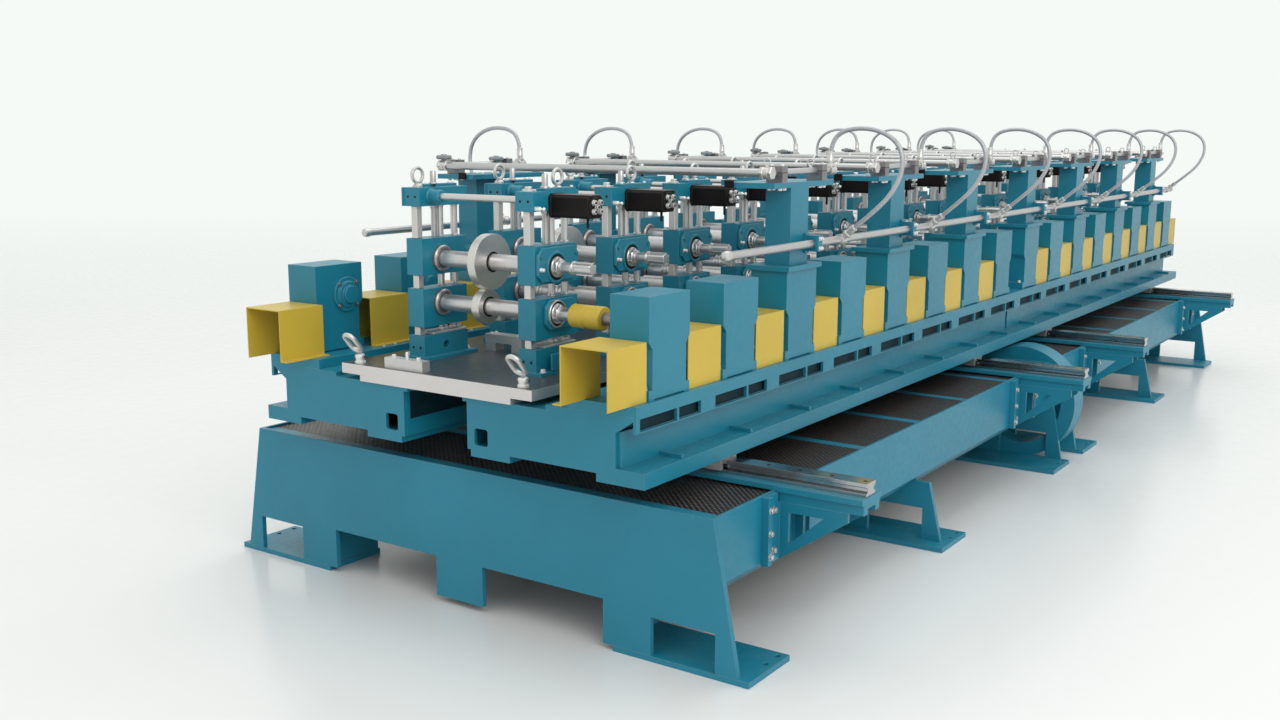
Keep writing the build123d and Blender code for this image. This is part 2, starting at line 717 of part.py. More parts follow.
def clamp(i, side, dx):
    """Return a saddle block that holds the pipe on a cap plate."""
    x = cap_x(i) + dx
    half = CLAMP_W / 2
    inner = CAP_OUT - CLAMP_LEN
    body = side_block([x - half, x + half], side, [inner, CAP_OUT], [CAP_TOP, CAP_TOP + CLAMP_H])
    return body - bar_x(side * PIPE_Y, PIPE_Z, PIPE_R + PIPE_PLAY, x - half - 1, x + half + 1, SIDES_12)


def tube_x(i):
    return cap_x(i) - TUBE_AT


def cross_tube(i):
    """Return the tube that runs across between the two cap plates of a portal."""
    reach = PIPE_Y - UNION_LEN / 2
    return bar_y(tube_x(i), PIPE_Z, TUBE_R, -reach, reach, SIDES_12)


def flat(radius, sides):
    """Return how far the flats of a bar lie from its axis."""
    return radius * math.cos(math.pi / sides)


def cap_pipe(i, side):
    """Return the pipe along a cap plate, from the union to the end tee."""
    start = tube_x(i) + flat(UNION_R, COARSE_SIDES)
    return bar_x(side * PIPE_Y, PIPE_Z, PIPE_R, start, cap_x(i) + TEE_AT - TEE_LEN / 2, SIDES_12)


def portal_fittings(i, side):
    """Return the union, the end tee with its riser, and the tap on the side tube."""
    y = side * PIPE_Y
    union = bar_y(tube_x(i), PIPE_Z, UNION_R, y - UNION_LEN / 2, y + UNION_LEN / 2, COARSE_SIDES)
    tee_x = cap_x(i) + TEE_AT
    tee = bar_x(y, PIPE_Z, TEE_R, tee_x - TEE_LEN / 2, tee_x + TEE_LEN / 2, COARSE_SIDES)
    riser = bar_z(tee_x, y, RISER_R, PIPE_Z, HOSE_START_Z, COARSE_SIDES)
    return [union, tee + riser, tap(i, side)]


def tap(i, side):
    """Return a tee on the side tube, with its branch turned outwards and up towards the hose."""
    x = hose_x(i, HOSE_POINTS[-1][1])
    y = side * SIDE_TUBE_Y
    body = bar_x(y, SIDE_TUBE_Z, TAP_R, x - TAP_LEN / 2, x + TAP_LEN / 2, COARSE_SIDES)
    rise = math.degrees(math.atan2(HOSE_END[1], HOSE_END[0]))
    branch = Pos(x, y, SIDE_TUBE_Z) * Rot(side * (rise - 90), 0, 0) * pin(RISER_R, math.hypot(*HOSE_END),
                                                                        COARSE_SIDES)
    bore = bar_x(y, SIDE_TUBE_Z, SIDE_TUBE_R + PIPE_PLAY, x - TAP_LEN, x + TAP_LEN)
    return body + branch - bore


def hose_x(i, z):
    """Return a hose's place along the machine at a height below its start: it leans on its way down."""
    last = HOSE_POINTS[-1][1]
    return cap_x(i) + TEE_AT + HOSE_LEAN * max(min(z, 0.0), last)


def hose_route(i, side):
    """Return the points of a hose, from the riser on the cap plate to the tap on the side tube."""
    route = [(hose_x(i, 0), side * PIPE_Y, HOSE_START_Z)]
    for out, up in HOSE_POINTS:
        route.append((hose_x(i, up), side * (PIPE_Y - out), HOSE_START_Z + up))
    end = side * (SIDE_TUBE_Y + HOSE_END[0])
    route.append((hose_x(i, HOSE_POINTS[-1][1]), end, SIDE_TUBE_Z + HOSE_END[1]))
    return [Vector(*p) for p in route]


def hose(i, side):
    """Return a hose: straight runs joined by tangent arcs as large as the runs allow."""
    route = hose_route(i, side)
    radii = []
    for a, b, c in zip(route, route[1:], route[2:]):
        turn = math.radians((b - a).get_angle(c - b))
        radii.append(0.45 * min((b - a).length, (c - b).length) / math.tan(turn / 2))
    path = FilletPolyline(*route, radius=radii)
    start = Plane(path @ 0, z_dir=path % 0)
    tube = sweep(start * RegularPolygon(HOSE_R, HOSE_SIDES, major_radius=True), path)
    if i == COLUMN_FIRST:
        section = HOSE_SIDES / 2 * HOSE_R ** 2 * math.sin(2 * math.pi / HOSE_SIDES)
        print("hose length", round(path.length), "radii", [round(r) for r in radii],
              "volume / section x length", round(tube.volume / (section * path.length), 4))
    return tube


def star_knob(x, y, z0):
    """Return a lobed hand knob on a short stem."""
    points = []
    for k in range(2 * KNOB_LOBES):
        radius = KNOB_R if k % 2 == 0 else 0.78 * KNOB_R
        turn = math.pi * k / KNOB_LOBES
        points.append((x + radius * math.cos(turn), y + radius * math.sin(turn), z0 + KNOB_STEM))
    head = extrude(make_face(Polyline(*points, close=True)), KNOB_H, dir=(0, 0, 1))
    return head + bar_z(x, y, KNOB_STEM_R, z0, z0 + KNOB_STEM, COARSE_SIDES)


def portal_knobs(i):
    """Return the knobs of a portal: one on its far union, one on the pipe before the second clamp."""
    on_pipe = cap_x(i) + CLAMP_DX - 2.2 * KNOB_R
    return [star_knob(tube_x(i), PIPE_Y, PIPE_Z + flat(UNION_R, COARSE_SIDES)),
            star_knob(on_pipe, PIPE_Y, PIPE_Z + flat(PIPE_R, SIDES_12))]


def tube_arm(i, side):
    """Return the arm that holds a side tube on a column."""
    reach = SIDE_TUBE_Y + SIDE_TUBE_R + ARM_OVER
    start = column_x(i) + COLUMN_LEN / 2 - ARM_LEN
    body = side_block([start, start + ARM_LEN], side, [COLUMN_OUT, reach],
                      [SIDE_TUBE_Z - ARM_H / 2, SIDE_TUBE_Z + ARM_H / 2])
    bore_r = SIDE_TUBE_R + PIPE_PLAY
    return body - bar_x(side * SIDE_TUBE_Y, SIDE_TUBE_Z, bore_r, start - 1, start + ARM_LEN + 1)


def stand_foot(i, side):
    """Return the foot and base block of one pillar, with a cross hole."""
    x = station_x(i)
    foot = side_block([x + STAND_FOOT_X[0], x + STAND_FOOT_X[1]], side, STAND_FOOT_Y,
                      [TOOL_TOP, TOOL_TOP + STAND_FOOT_T])
    body = side_block([x + CHOCK_X[0], x + CHOCK_X[1]], side, [PILLAR_IN, PILLAR_OUT],
                      [TOOL_TOP + STAND_FOOT_T, BLOCK_TOP])
    hole_x = x + sum(CHOCK_X) / 2
    body -= bar_y(hole_x, BLOCK_HOLE_Z, BLOCK_HOLE_R, side * (PILLAR_IN - 1), side * (PILLAR_OUT + 1),
                  sides_of(i))
    return foot + body


def chock(i, side, zs, shaft_z):
    """Return a bearing block, with its bore at the stations whose shafts turn."""
    x = station_x(i)
    body = side_block([x + CHOCK_X[0], x + CHOCK_X[1]], side, [PILLAR_IN, PILLAR_OUT], zs)
    if i >= POWERED:
        return body
    return body - bar_y(x + SHAFT_X, shaft_z, SHAFT_R + SHAFT_PLAY, side * (PILLAR_IN - 1),
                        side * (PILLAR_OUT + 1))


def head_block(i, side):
    """Return a head block, with a round boss at the cross rod on the far side."""
    x = station_x(i)
    body = side_block([x + HEAD_X[0], x + HEAD_X[1]], side, [PILLAR_IN, PILLAR_OUT], HEAD_Z)
    body += side_block([x + HEAD_PLATE_X[0], x + HEAD_PLATE_X[1]], side, [PILLAR_OUT - HEAD_PLATE_W, PILLAR_OUT],
                       [HEAD_Z[1], HEAD_Z[1] + HEAD_PLATE])
    if side > 0:
        body += side_block([x + HEAD_X[0] - 4, x + HEAD_X[1]], side, [PILLAR_OUT, PILLAR_OUT + HEAD_SIDE],
                           HEAD_Z)
    body -= bar_z(x + SPINDLE_X, side * (PILLAR_IN + PILLAR_OUT) / 2, SPINDLE_R, HEAD_Z[0] - 1,
                  HEAD_Z[1] + HEAD_PLATE + 1, POST_SIDES)
    if side < 0:
        return body
    boss_end = PILLAR_IN - ROD_SLEEVE_LEN
    boss = bar_y(x + DRIVE_ROD_X, DRIVE_ROD_Z, ROD_SLEEVE_R, boss_end, PILLAR_IN, COARSE_SIDES)
    return body + boss


def pillar_bars(i, side):
    """Return the square front bar and the round posts between the blocks of one pillar."""
    x = station_x(i)
    mid = (PILLAR_IN + PILLAR_OUT) / 2
    half = FRONT_BAR / 2
    bars = []
    gaps = [[BLOCK_TOP, LOW_CHOCK_Z[0]], [LOW_CHOCK_Z[1], UP_CHOCK_Z[0]], [UP_CHOCK_Z[1], HEAD_Z[0]]]
    for z0, z1 in gaps:
        front = x + FRONT_BAR_X
        bars.append(side_block([front - half, front + half], side, [mid - half, mid + half], [z0, z1]))
    for z0, z1 in gaps[1:]:
        for dx in POST_X:
            bars.append(bar_z(x + dx, side * mid, POST_R, z0, z1, POST_SIDES))
    pad_top = BLOCK_TOP + PAD_PLATE_T
    bars.append(side_block([x + PAD_PLATE_X[0], x + PAD_PLATE_X[1]], side, [PILLAR_IN + 4, PILLAR_OUT - 4],
                           [BLOCK_TOP, pad_top]))
    for dx in JACK_X:
        bars.append(bar_z(x + dx, side * mid, JACK_R, pad_top, LOW_CHOCK_Z[0], POST_SIDES))
    bars.append(bar_z(x + SPINDLE_X, side * mid, SPINDLE_R, UP_CHOCK_Z[1], SPINDLE_TOP, POST_SIDES))
    if side < 0:
        nut = bar_z(x + FRONT_BAR_X, side * mid, TOP_NUT_R, HEAD_Z[1], HEAD_Z[1] + TOP_NUT_T, COARSE_SIDES)
        bars.append(nut + bar_z(x + FRONT_BAR_X, side * mid, TOP_NUT_STEM, HEAD_Z[1], HEAD_Z[1] + TOP_NUT_H,
                                COARSE_SIDES))
    return bars


def lifting_eye(i, side):
    """Return the ring bolt on a head block: a ring in the x-z plane on a round collar."""
    x = station_x(i) + (EYE_X[0] if side > 0 else EYE_X[1])
    y = side * (PILLAR_IN + PILLAR_OUT - HEAD_PLATE * (side < 0) * 4) / 2
    ring = bar_y(x, EYE_Z, EYE_R[0], y - EYE_T / 2, y + EYE_T / 2, SIDES_12)
    ring -= bar_y(x, EYE_Z, EYE_R[1], y - EYE_T, y + EYE_T, SIDES_12)
    base = HEAD_Z[1]
    return ring + bar_z(x, y, EYE_COLLAR_R, base, base + EYE_COLLAR_T, COARSE_SIDES)


def bearing_ring(i, z):
    """Return the bearing ring on the inner face of a far side chock."""
    x = station_x(i) + SHAFT_X
    ring = bar_y(x, z, BEARING_R, PILLAR_IN - BEARING_T, PILLAR_IN, sides_of(i))
    if i >= POWERED:
        return ring
    return ring - bar_y(x, z, SHAFT_R + SHAFT_PLAY, PILLAR_IN - BEARING_T - 1, PILLAR_IN + 1)


def bearing_cover(i, z, spread):
    """Return the cover on the outer face of a near side chock: a cornered plate with a seal ring."""
    x = station_x(i) + SHAFT_X
    x0, x1, low, high = x + spread[0], x + spread[1], z + spread[2], z + spread[3]
    c = COVER_CUT
    face = -PILLAR_OUT - COVER_T
    outline = [(x0 + c, low), (x1 - c, low), (x1, low + c), (x1, high - c), (x1 - c, high), (x0 + c, high),
               (x0, high - c), (x0, low + c)]
    body = slab_y(outline, face, -PILLAR_OUT)
    body += bar_y(x, z, SEAL_R, face - SEAL_T, face, sides_of(i))
    if i >= POWERED:
        return body
    return body - bar_y(x, z, SHAFT_R + SHAFT_PLAY, face - SEAL_T - 1, -PILLAR_OUT + 1)


def spline(x, z, sides):
    """Return the toothed drive end of an upper shaft."""
    root_end = -SPLINE_END + SPLINE_LEN
    body = bar_y(x, z, SPLINE_ROOT, -SPLINE_END, root_end, sides)
    for k in range(SPLINE_TEETH):
        tooth = block([-4, 4], [-SPLINE_END, root_end], [SPLINE_ROOT - 4, SPLINE_R])
        body += Pos(x, 0, z) * Rot(0, 360 * k / SPLINE_TEETH, 0) * tooth
    return body


def dress(i, x, z, roll_y, roll_r, sides):
    """Return what a shaft carries: its roll, or two groups of spacer rings where roll_r is zero."""
    if roll_r:
        return bar_y(x, z, roll_r, roll_y - ROLL_T / 2, roll_y + ROLL_T / 2, sides)
    if z > LOW_SHAFT_Z:
        return None
    rings = [y + k * SPACER_STEP for y in SPACER_Y for k in range(SPACERS)]
    return sum([bar_y(x, z, SPACER_R, y, y + SPACER_T, sides) for y in rings[1:]],
               bar_y(x, z, SPACER_R, rings[0], rings[0] + SPACER_T, sides))


def shaft(i, z, roll_y, roll_r, stub_r, stub_end):
    """Return a turning roll shaft with its roll and its stepped drive end."""
    x = station_x(i) + SHAFT_X
    face = SEAL_FACE
    body = bar_y(x, z, SHAFT_R, face - 2, PILLAR_OUT)
    body += bar_y(x, z, stub_r, stub_end, face)
    load = dress(i, x, z, roll_y, roll_r, 0)
    return body if load is None else body + load


def fixed_shaft(i, z, roll_y, roll_r, stub_r, stub_ends):
    """Return a roll shaft at rest: its length between the chocks, and its stubs outside the cover."""
    x = station_x(i) + SHAFT_X
    inner = bar_y(x, z, SHAFT_R, -PILLAR_IN, PILLAR_IN - BEARING_T, COARSE_SIDES)
    load = dress(i, x, z, roll_y, roll_r, SIDES_12)
    inner = inner if load is None else inner + load
    return [inner] + [bar_y(x, z, stub_r, a, b, COARSE_SIDES) for a, b in stub_ends]


def up_roll(i):
    return UP_ROLL_R if i < UP_ROLLS else 0


def low_roll(i):
    return LOW_ROLL_R if i < LOW_ROLLS else 0


def upper_shaft(i):
    body = shaft(i, UP_SHAFT_Z, UP_ROLL_Y, up_roll(i), SPLINE_R, -SPLINE_END + SPLINE_LEN)
    return body + spline(station_x(i) + SHAFT_X, UP_SHAFT_Z, 0)


def lower_shaft(i):
    return shaft(i, LOW_SHAFT_Z, LOW_ROLL_Y, low_roll(i), LOW_STUB_R, HUB_FACE + 1)


def fixed_upper_shaft(i):
    return fixed_shaft(i, UP_SHAFT_Z, UP_ROLL_Y, up_roll(i), SPLINE_R, [[-SPLINE_END, SEAL_FACE]])


def fixed_lower_shaft(i):
    stubs = [[-SLEEVE_Y[0], SEAL_FACE], [HUB_FACE, -SLEEVE_Y[1]]]
    return fixed_shaft(i, LOW_SHAFT_Z, LOW_ROLL_Y, low_roll(i), LOW_STUB_R, stubs)


def coupling_sleeve(i):
    """Return the yellow guard sleeve round a drive shaft."""
    x = station_x(i) + SHAFT_X
    body = bar_y(x, LOW_SHAFT_Z, SLEEVE_R, -SLEEVE_Y[0], -SLEEVE_Y[1], SIDES_12)
    if i >= POWERED:
        return body
    return body - bar_y(x, LOW_SHAFT_Z, LOW_STUB_R + SHAFT_PLAY, -SLEEVE_Y[0] + 1, -SLEEVE_Y[1] - 1)


def drive_rod(i):
    """Return the cross rod between two head blocks."""
    x = station_x(i) + DRIVE_ROD_X
    return bar_y(x, DRIVE_ROD_Z, DRIVE_ROD_R, -PILLAR_IN, PILLAR_IN - ROD_SLEEVE_LEN, POST_SIDES)


def motor(i):
    """Return a chamfered actuator housing on a near side head block."""
    x = station_x(i)
    x0, x1 = x + MOTOR_X[0], x + MOTOR_X[1]
    z0, z1 = MOTOR_Z
    c = MOTOR_CHAMFER
    outline = [(x0 + c, z0), (x1 - c, z0), (x1, z0 + c), (x1, z1 - c), (x1 - c, z1), (x0 + c, z1),
               (x0, z1 - c), (x0, z0 + c)]
    return slab_y(outline, -PILLAR_OUT - MOTOR_LEN, -PILLAR_OUT)


def motor_plugs(i):
    """Return the four round connectors on the end of an actuator housing."""
    x = station_x(i) + sum(MOTOR_X) / 2
    z = sum(MOTOR_Z) / 2
    end = -PILLAR_OUT - MOTOR_LEN
    return [bar_y(x + dx * PLUG_STEP, z + dz * PLUG_STEP, PLUG_R, end - PLUG_LEN, end, POST_SIDES)
            for dx in SIDES for dz in SIDES]


def link_block(side):
    half = LINK_BLOCK / 2
    return side_block([LINK_X - half, LINK_X + half], side, [LINK_Y - half, LINK_Y + half],
                      [TOOL_TOP, TOOL_TOP + LINK_BLOCK])


def lifting_link(side):
    """Return an oval lifting link that leans over its block."""
    oval = RectangleRounded(3.4 * LINK_R, 2 * LINK_R, LINK_R - 0.5)
    ring = extrude(oval, LINK_WIRE, both=True)
    ring -= extrude(offset(oval, -2 * LINK_WIRE), LINK_WIRE + 1, both=True)
    half = 1.7 * LINK_R
    lean = math.radians(LINK_TILT)
    drop = half * math.sin(lean) + LINK_WIRE * math.cos(lean) + SEAT
    back = half * math.cos(lean)
    return Pos(LINK_X - back, side * LINK_Y, TOOL_TOP + LINK_BLOCK + drop) * Rot(0, LINK_TILT, 0) * ring


def strip_guides():
    """Return the keeper bar before the first stand and the bridge block after it."""
    keeper = block(KEEPER_X, KEEPER_Y, [TOOL_TOP, TOOL_TOP + KEEPER_H])
    bridge = block(GUIDE_X, GUIDE_Y, [TOOL_TOP, TOOL_TOP + GUIDE_H])
    gap = [GUIDE_Y[0] + GUIDE_LEG, GUIDE_Y[1] - GUIDE_LEG]
    bridge -= block([GUIDE_X[0] - 1, GUIDE_X[1] + 1], gap, [TOOL_TOP - 1, TOOL_TOP + GUIDE_H / 2])
    return [keeper, bridge]


write("near_end_plates", [end_frame(x) for x in BASE_X])
write("far_end_plates", [end_frame(x + BASE_LEN - PLATE_T) for x in BASE_X])
write("middle_legs", [middle_leg(x + MID_LEG_AT, side) for x in BASE_X for side in SIDES])
write("foot_plates", [foot_plate(f, side) for x in BASE_X for f in foot_starts(x) for side in SIDES])
write("side_beams", [side_beam(x, side) for x in BASE_X for side in SIDES])
write("deck_bars", [deck_bar(b) for x in BASE_X for b in bars_for(x)])
decks = []
for base_x in BASE_X:
    bars = bars_for(base_x)
    for first, second in zip(bars, bars[1:]):
        decks.append(deck_plate(first + DECK_BAR_W, second))
write("deck_plates", decks)
slides = [x + at for x in BASE_X for at in SLIDE_AT]
write("slide_beams", [slide_beam(x) for x in slides])
write("slide_plates", [slide_plate(x) for x in slides])
write("slide_brackets", [bracket(x) for x in slides])
write("slide_rails", [rail(x) for x in slides])
write("cable_guide_ring", guide_ring())

for label, bed_x in zip(["front", "rear"], BED_X):
    write(f"{label}_bed_beams", [bed_beam(bed_x, side) for side in SIDES])
    write(f"{label}_gear_rails", [gear_rail(bed_x, side) for side in SIDES])
ends = [x + shift for x in BED_X for shift in (0, BED_LENGTH - END_T)]
write("bed_end_plates", [end_plate(x, side) for x in ends for side in SIDES])
write("bed_side_plates", [side_plate(x, side) for x in BED_X for side in SIDES])
write("flange_ribs", [flange_rib(station_x(i) + 0.3 * PITCH, side) for i in range(STATIONS)
                      for side in SIDES])
write("carriages", [carriage(x, side, span) for x in slides for side in SIDES for span in CARRIAGE_Y])
plates = []
for start in range(0, STATIONS, TOOL_SPAN):
    plate_x = station_x(start) - TOOL_LEAD
    plates.append(tooling_plate(plate_x, plate_x + PITCH * TOOL_SPAN - TOOL_GAP))
write("tooling_plates", plates)
write("lifting_blocks", [link_block(side) for side in SIDES])
write("lifting_links", [lifting_link(side) for side in SIDES])
write("strip_guides", strip_guides())

for label, side in (("left", 1), ("right", -1)):
    write(f"{label}_gearboxes", [gearbox(i, side) for i in range(STATIONS)])
    write(f"{label}_guards", [guard(x, side) for x in guard_starts()])
write("gearbox_hubs", [gearbox_hub(i, side) for i in range(STATIONS) for side in SIDES])
portals = [i for i in range(STATIONS) if has_column(i)]
portal_sides = [(i, side) for i in portals for side in SIDES]
write("columns", [column(i, side) for i, side in portal_sides])
write("cap_plates", [cap_plate(i, side) for i, side in portal_sides])
write("stop_blocks", [b for i, side in portal_sides for b in stop_blocks(i, side)])
write("tube_clamps", [clamp(i, side, dx) for i, side in portal_sides for dx in (-CLAMP_DX, CLAMP_DX)])
write("cross_tubes", [cross_tube(i) for i in portals] + [cap_pipe(i, side) for i, side in portal_sides])
write("pipe_fittings", [f for i, side in portal_sides for f in portal_fittings(i, side)])
write("valve_knobs", [k for i in portals for k in portal_knobs(i)])
write("side_tubes", [bar_x(side * SIDE_TUBE_Y, SIDE_TUBE_Z, SIDE_TUBE_R, *SIDE_TUBE_X) for side in SIDES])
write("tube_arms", [tube_arm(i, side) for i, side in portal_sides])
write("hoses_left", [hose(i, 1) for i in portals])
write("hoses_right", [hose(i, -1) for i in portals])

pillars = [(i, side) for i in range(STATIONS) for side in SIDES]
write("stand_feet", [stand_foot(i, side) for i, side in pillars])
write("lower_chocks", [chock(i, side, LOW_CHOCK_Z, LOW_SHAFT_Z) for i, side in pillars])
write("upper_chocks", [chock(i, side, UP_CHOCK_Z, UP_SHAFT_Z) for i, side in pillars])
write("head_blocks", [head_block(i, side) for i, side in pillars])
write("pillar_bars", [bar for i, side in pillars for bar in pillar_bars(i, side)])
write("lifting_eyes", [lifting_eye(i, side) for i, side in pillars])
write("bearing_rings", [bearing_ring(i, z) for i in range(STATIONS) for z in (LOW_SHAFT_Z, UP_SHAFT_Z)])
write("bearing_covers", [bearing_cover(i, z, spread) for i in range(STATIONS)
                         for z, spread in ((LOW_SHAFT_Z, LOW_COVER), (UP_SHAFT_Z, UP_COVER))])
write("coupling_sleeves", [coupling_sleeve(i) for i in range(STATIONS)])
write("drive_rods", [drive_rod(i) for i in range(STATIONS)])
write("actuators", [motor(i) for i in range(STATIONS)])
write("actuator_plugs", [p for i in range(STATIONS) for p in motor_plugs(i)])
for i in range(POWERED):
    write(f"upper_shaft_{i + 1}", upper_shaft(i))
    write(f"lower_shaft_{i + 1}", lower_shaft(i))
write("rear_upper_shafts", [s for i in range(POWERED, STATIONS) for s in fixed_upper_shaft(i)])
write("rear_lower_shafts", [s for i in range(POWERED, STATIONS) for s in fixed_lower_shaft(i)])
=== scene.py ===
import json
import math

import bpy
import numpy as np
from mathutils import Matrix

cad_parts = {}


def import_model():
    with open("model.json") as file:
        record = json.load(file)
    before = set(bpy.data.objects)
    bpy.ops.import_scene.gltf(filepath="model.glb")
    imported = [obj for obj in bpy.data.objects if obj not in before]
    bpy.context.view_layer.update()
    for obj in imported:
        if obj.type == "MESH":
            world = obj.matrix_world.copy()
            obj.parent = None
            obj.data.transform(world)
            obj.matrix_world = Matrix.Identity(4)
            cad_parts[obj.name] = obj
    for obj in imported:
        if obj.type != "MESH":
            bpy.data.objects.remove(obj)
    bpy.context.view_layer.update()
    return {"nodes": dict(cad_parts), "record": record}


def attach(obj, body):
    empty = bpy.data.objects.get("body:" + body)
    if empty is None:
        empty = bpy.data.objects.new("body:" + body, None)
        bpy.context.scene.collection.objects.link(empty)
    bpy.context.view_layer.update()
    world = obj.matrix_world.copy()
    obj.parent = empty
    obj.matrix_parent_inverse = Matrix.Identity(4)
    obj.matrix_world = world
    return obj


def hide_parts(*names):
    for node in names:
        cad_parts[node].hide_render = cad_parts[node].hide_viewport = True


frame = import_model()

# Camera: place in metres, direction in radians, in the model's own frame.
CAMERA_AT = (-6.7487, -2.9667, 1.7154)
CAMERA_YAW = 0.6056
CAMERA_PITCH = 0.1777
CAMERA_ROLL = -0.0026
LENS_MM = 35.916
FLOOR_COLOUR = (0.80, 0.785, 0.79)

# The floor fades between these distances in metres, along the view and all round.
VIEW_ALONG = (0.823, 0.568, 0.0)
FADE_ALONG, FADE_ROUND = (3.0, 19.0), (11.0, 28.0)

# Sizes below are millimetres from the front face of the first gearbox, the centre plane and the floor.
CENTRE = np.array((3492.5, -91.5, 0.0))
MM = 0.001
PITCH, STATIONS = 450.0, 16
STATION = PITCH * np.arange(STATIONS)
PORTAL = STATION[2::2]
POWERED = 3
ROLL_R = {"upper": 100.5, "lower": 61.5}
SHAFT_X = 198.0
LOW_Z, UP_Z = 1088.0, 1251.0
PILLAR_IN, PILLAR_OUT, PILLAR_MID = 225.0, 302.0, 263.5
COVER_T = 14.0
COVER_FACE = -PILLAR_OUT - COVER_T
LOW_COVER, UP_COVER = (-58, 118, -54, 50), (-95, 127, -48, 70)
FOOT_TOP, BLOCK_TOP, UP_CHOCK_TOP = 892.0, 970.0, 1327.0
HEAD_LOW, HEAD_TOP, HEAD_COVER_TOP = 1444.0, 1511.0, 1521.0
ROD_X, ROD_Z = 150.0, 1480.0
HUB_Y = 689.0
CLAMP_BOLT_Y = (768, 812, -768, -812)
CAP_MID = 157.5
CAP_TOP = 1530.0
PIPE_Y, PIPE_Z = 790.0, 1566.0
TUBE_X = CAP_MID - 233.0
TEE_X = CAP_MID + 272.0
SIDE_TUBE_Y, SIDE_TUBE_Z = 860.0, 1300.0
BOTH = (1.0, -1.0)
RAIL_ENDS = (-90.0, 7110.0)
BASE_STARTS = (13.0, 3621.0)
FOOT_IN = 690.0
WEB_IN, WEB_LOW, WEB_HIGH = 150.0, 640.0, 805.0

# Turns that carry a piece modelled along +z to another axis.
TURN = {
    "z": np.eye(3),
    "-z": np.array(((1, 0, 0), (0, -1, 0), (0, 0, -1.0))),
    "y": np.array(((1, 0, 0), (0, 0, 1), (0, -1, 0.0))),
    "-y": np.array(((1, 0, 0), (0, 0, -1), (0, 1, 0.0))),
    "x": np.array(((0, 0, 1), (0, 1, 0), (-1, 0, 0.0))),
    "-x": np.array(((0, 0, -1), (0, 1, 0), (1, 0, 0.0))),
}


def join(forms):
    """Put several shapes into one: points end to end, face numbers shifted to match."""
    shift, points, faces = 0, [], []
    for v, parts in forms:
        points.append(v)
        faces += [f + shift for f in parts]
        shift += len(v)
    return np.concatenate(points), faces


def turn(form, axis, at=(0, 0, 0)):
    """Turn a shape from +z to another axis, then move it."""
    return form[0] @ TURN[axis].T + np.asarray(at, float), form[1]


def spots(xs, ys, zs):
    """Every combination of the given x, y and z, as rows."""
    return np.stack(np.meshgrid(xs, ys, zs, indexing="ij"), -1).reshape(-1, 3)


def repeat(form, places):
    """Copy a shape to each place: point k of copy p is v_k + p."""
    v, faces = form
    places = np.atleast_2d(np.asarray(places, float))
    shift = np.arange(len(places))[:, None, None] * len(v)
    return (v[None] + places[:, None]).reshape(-1, 3), [(f[None] + shift).reshape(-1, f.shape[1]) for f in faces]


def each(places, *steps):
    """Every place moved along by every step."""
    return places[:, None] + np.array(steps)


def combine(places, offsets):
    """Every offset added to every place, as rows."""
    return (places[:, None] + offsets[None]).reshape(-1, 3)


def full_turn(count):
    """Equal angles round a full turn."""
    return 2 * np.pi * np.arange(count) / count


def polar(r, t):
    """Flat points at radius r and angle t."""
    return np.stack([r * np.cos(t), r * np.sin(t)], -1)


def cut_corners(x0, x1, y0, y1, c):
    """Outline of a rectangle with its four corners cut off by c."""
    return [(x0 + c, y0), (x1 - c, y0), (x1, y0 + c), (x1, y1 - c), (x1 - c, y1), (x0 + c, y1), (x0, y1 - c),
            (x0, y0 + c)]


def lattice(rows, columns, closed):
    """Quads between rings of points, rows of them; the last ring meets the first where closed."""
    i, j = np.arange(rows if closed else rows - 1)[:, None], np.arange(columns)[None]
    i2, j2 = (i + 1) % rows, (j + 1) % columns
    return np.stack([i * columns + j, i * columns + j2, i2 * columns + j2, i2 * columns + j], -1).reshape(-1, 4)


def end_faces(rows, columns):
    """The two faces that close the first and the last ring."""
    ring = np.arange(columns)
    return [ring[::-1][None], (ring + (rows - 1) * columns)[None]]


def turned(profile, sides=20, hollow=False):
    """Surface of revolution: point (i, j) is (r_i cos t_j, r_i sin t_j, z_i) with t_j = 2 pi j / sides."""
    r, z = np.asarray(profile, float).T
    t = full_turn(sides)
    v = np.stack([np.outer(r, np.cos(t)), np.outer(r, np.sin(t)), np.repeat(z[:, None], sides, 1)], -1)
    return v.reshape(-1, 3), [lattice(len(r), sides, hollow)] + ([] if hollow else end_faces(len(r), sides))


def plate(outline, z0, z1, bevel):
    """Prism on an outline that runs anticlockwise, its two rims drawn in along each corner's bisector:
    inset point = p + b (n1 + n2) / (1 + n1.n2), where n1 and n2 are the inward normals of the sides that meet."""
    p = np.asarray(outline, float)
    d = np.roll(p, -1, 0) - p
    d /= np.linalg.norm(d, axis=1)[:, None]
    n2 = np.stack([-d[:, 1], d[:, 0]], -1)
    n1 = np.roll(n2, 1, 0)
    inset = p + bevel * (n1 + n2) / (1 + (n1 * n2).sum(1))[:, None]
    rings = ((inset, z0), (p, z0 + bevel), (p, z1 - bevel), (inset, z1))
    v = np.concatenate([np.column_stack([q, np.full(len(q), z)]) for q, z in rings])
    return v, [lattice(len(rings), len(p), False)] + end_faces(len(rings), len(p))


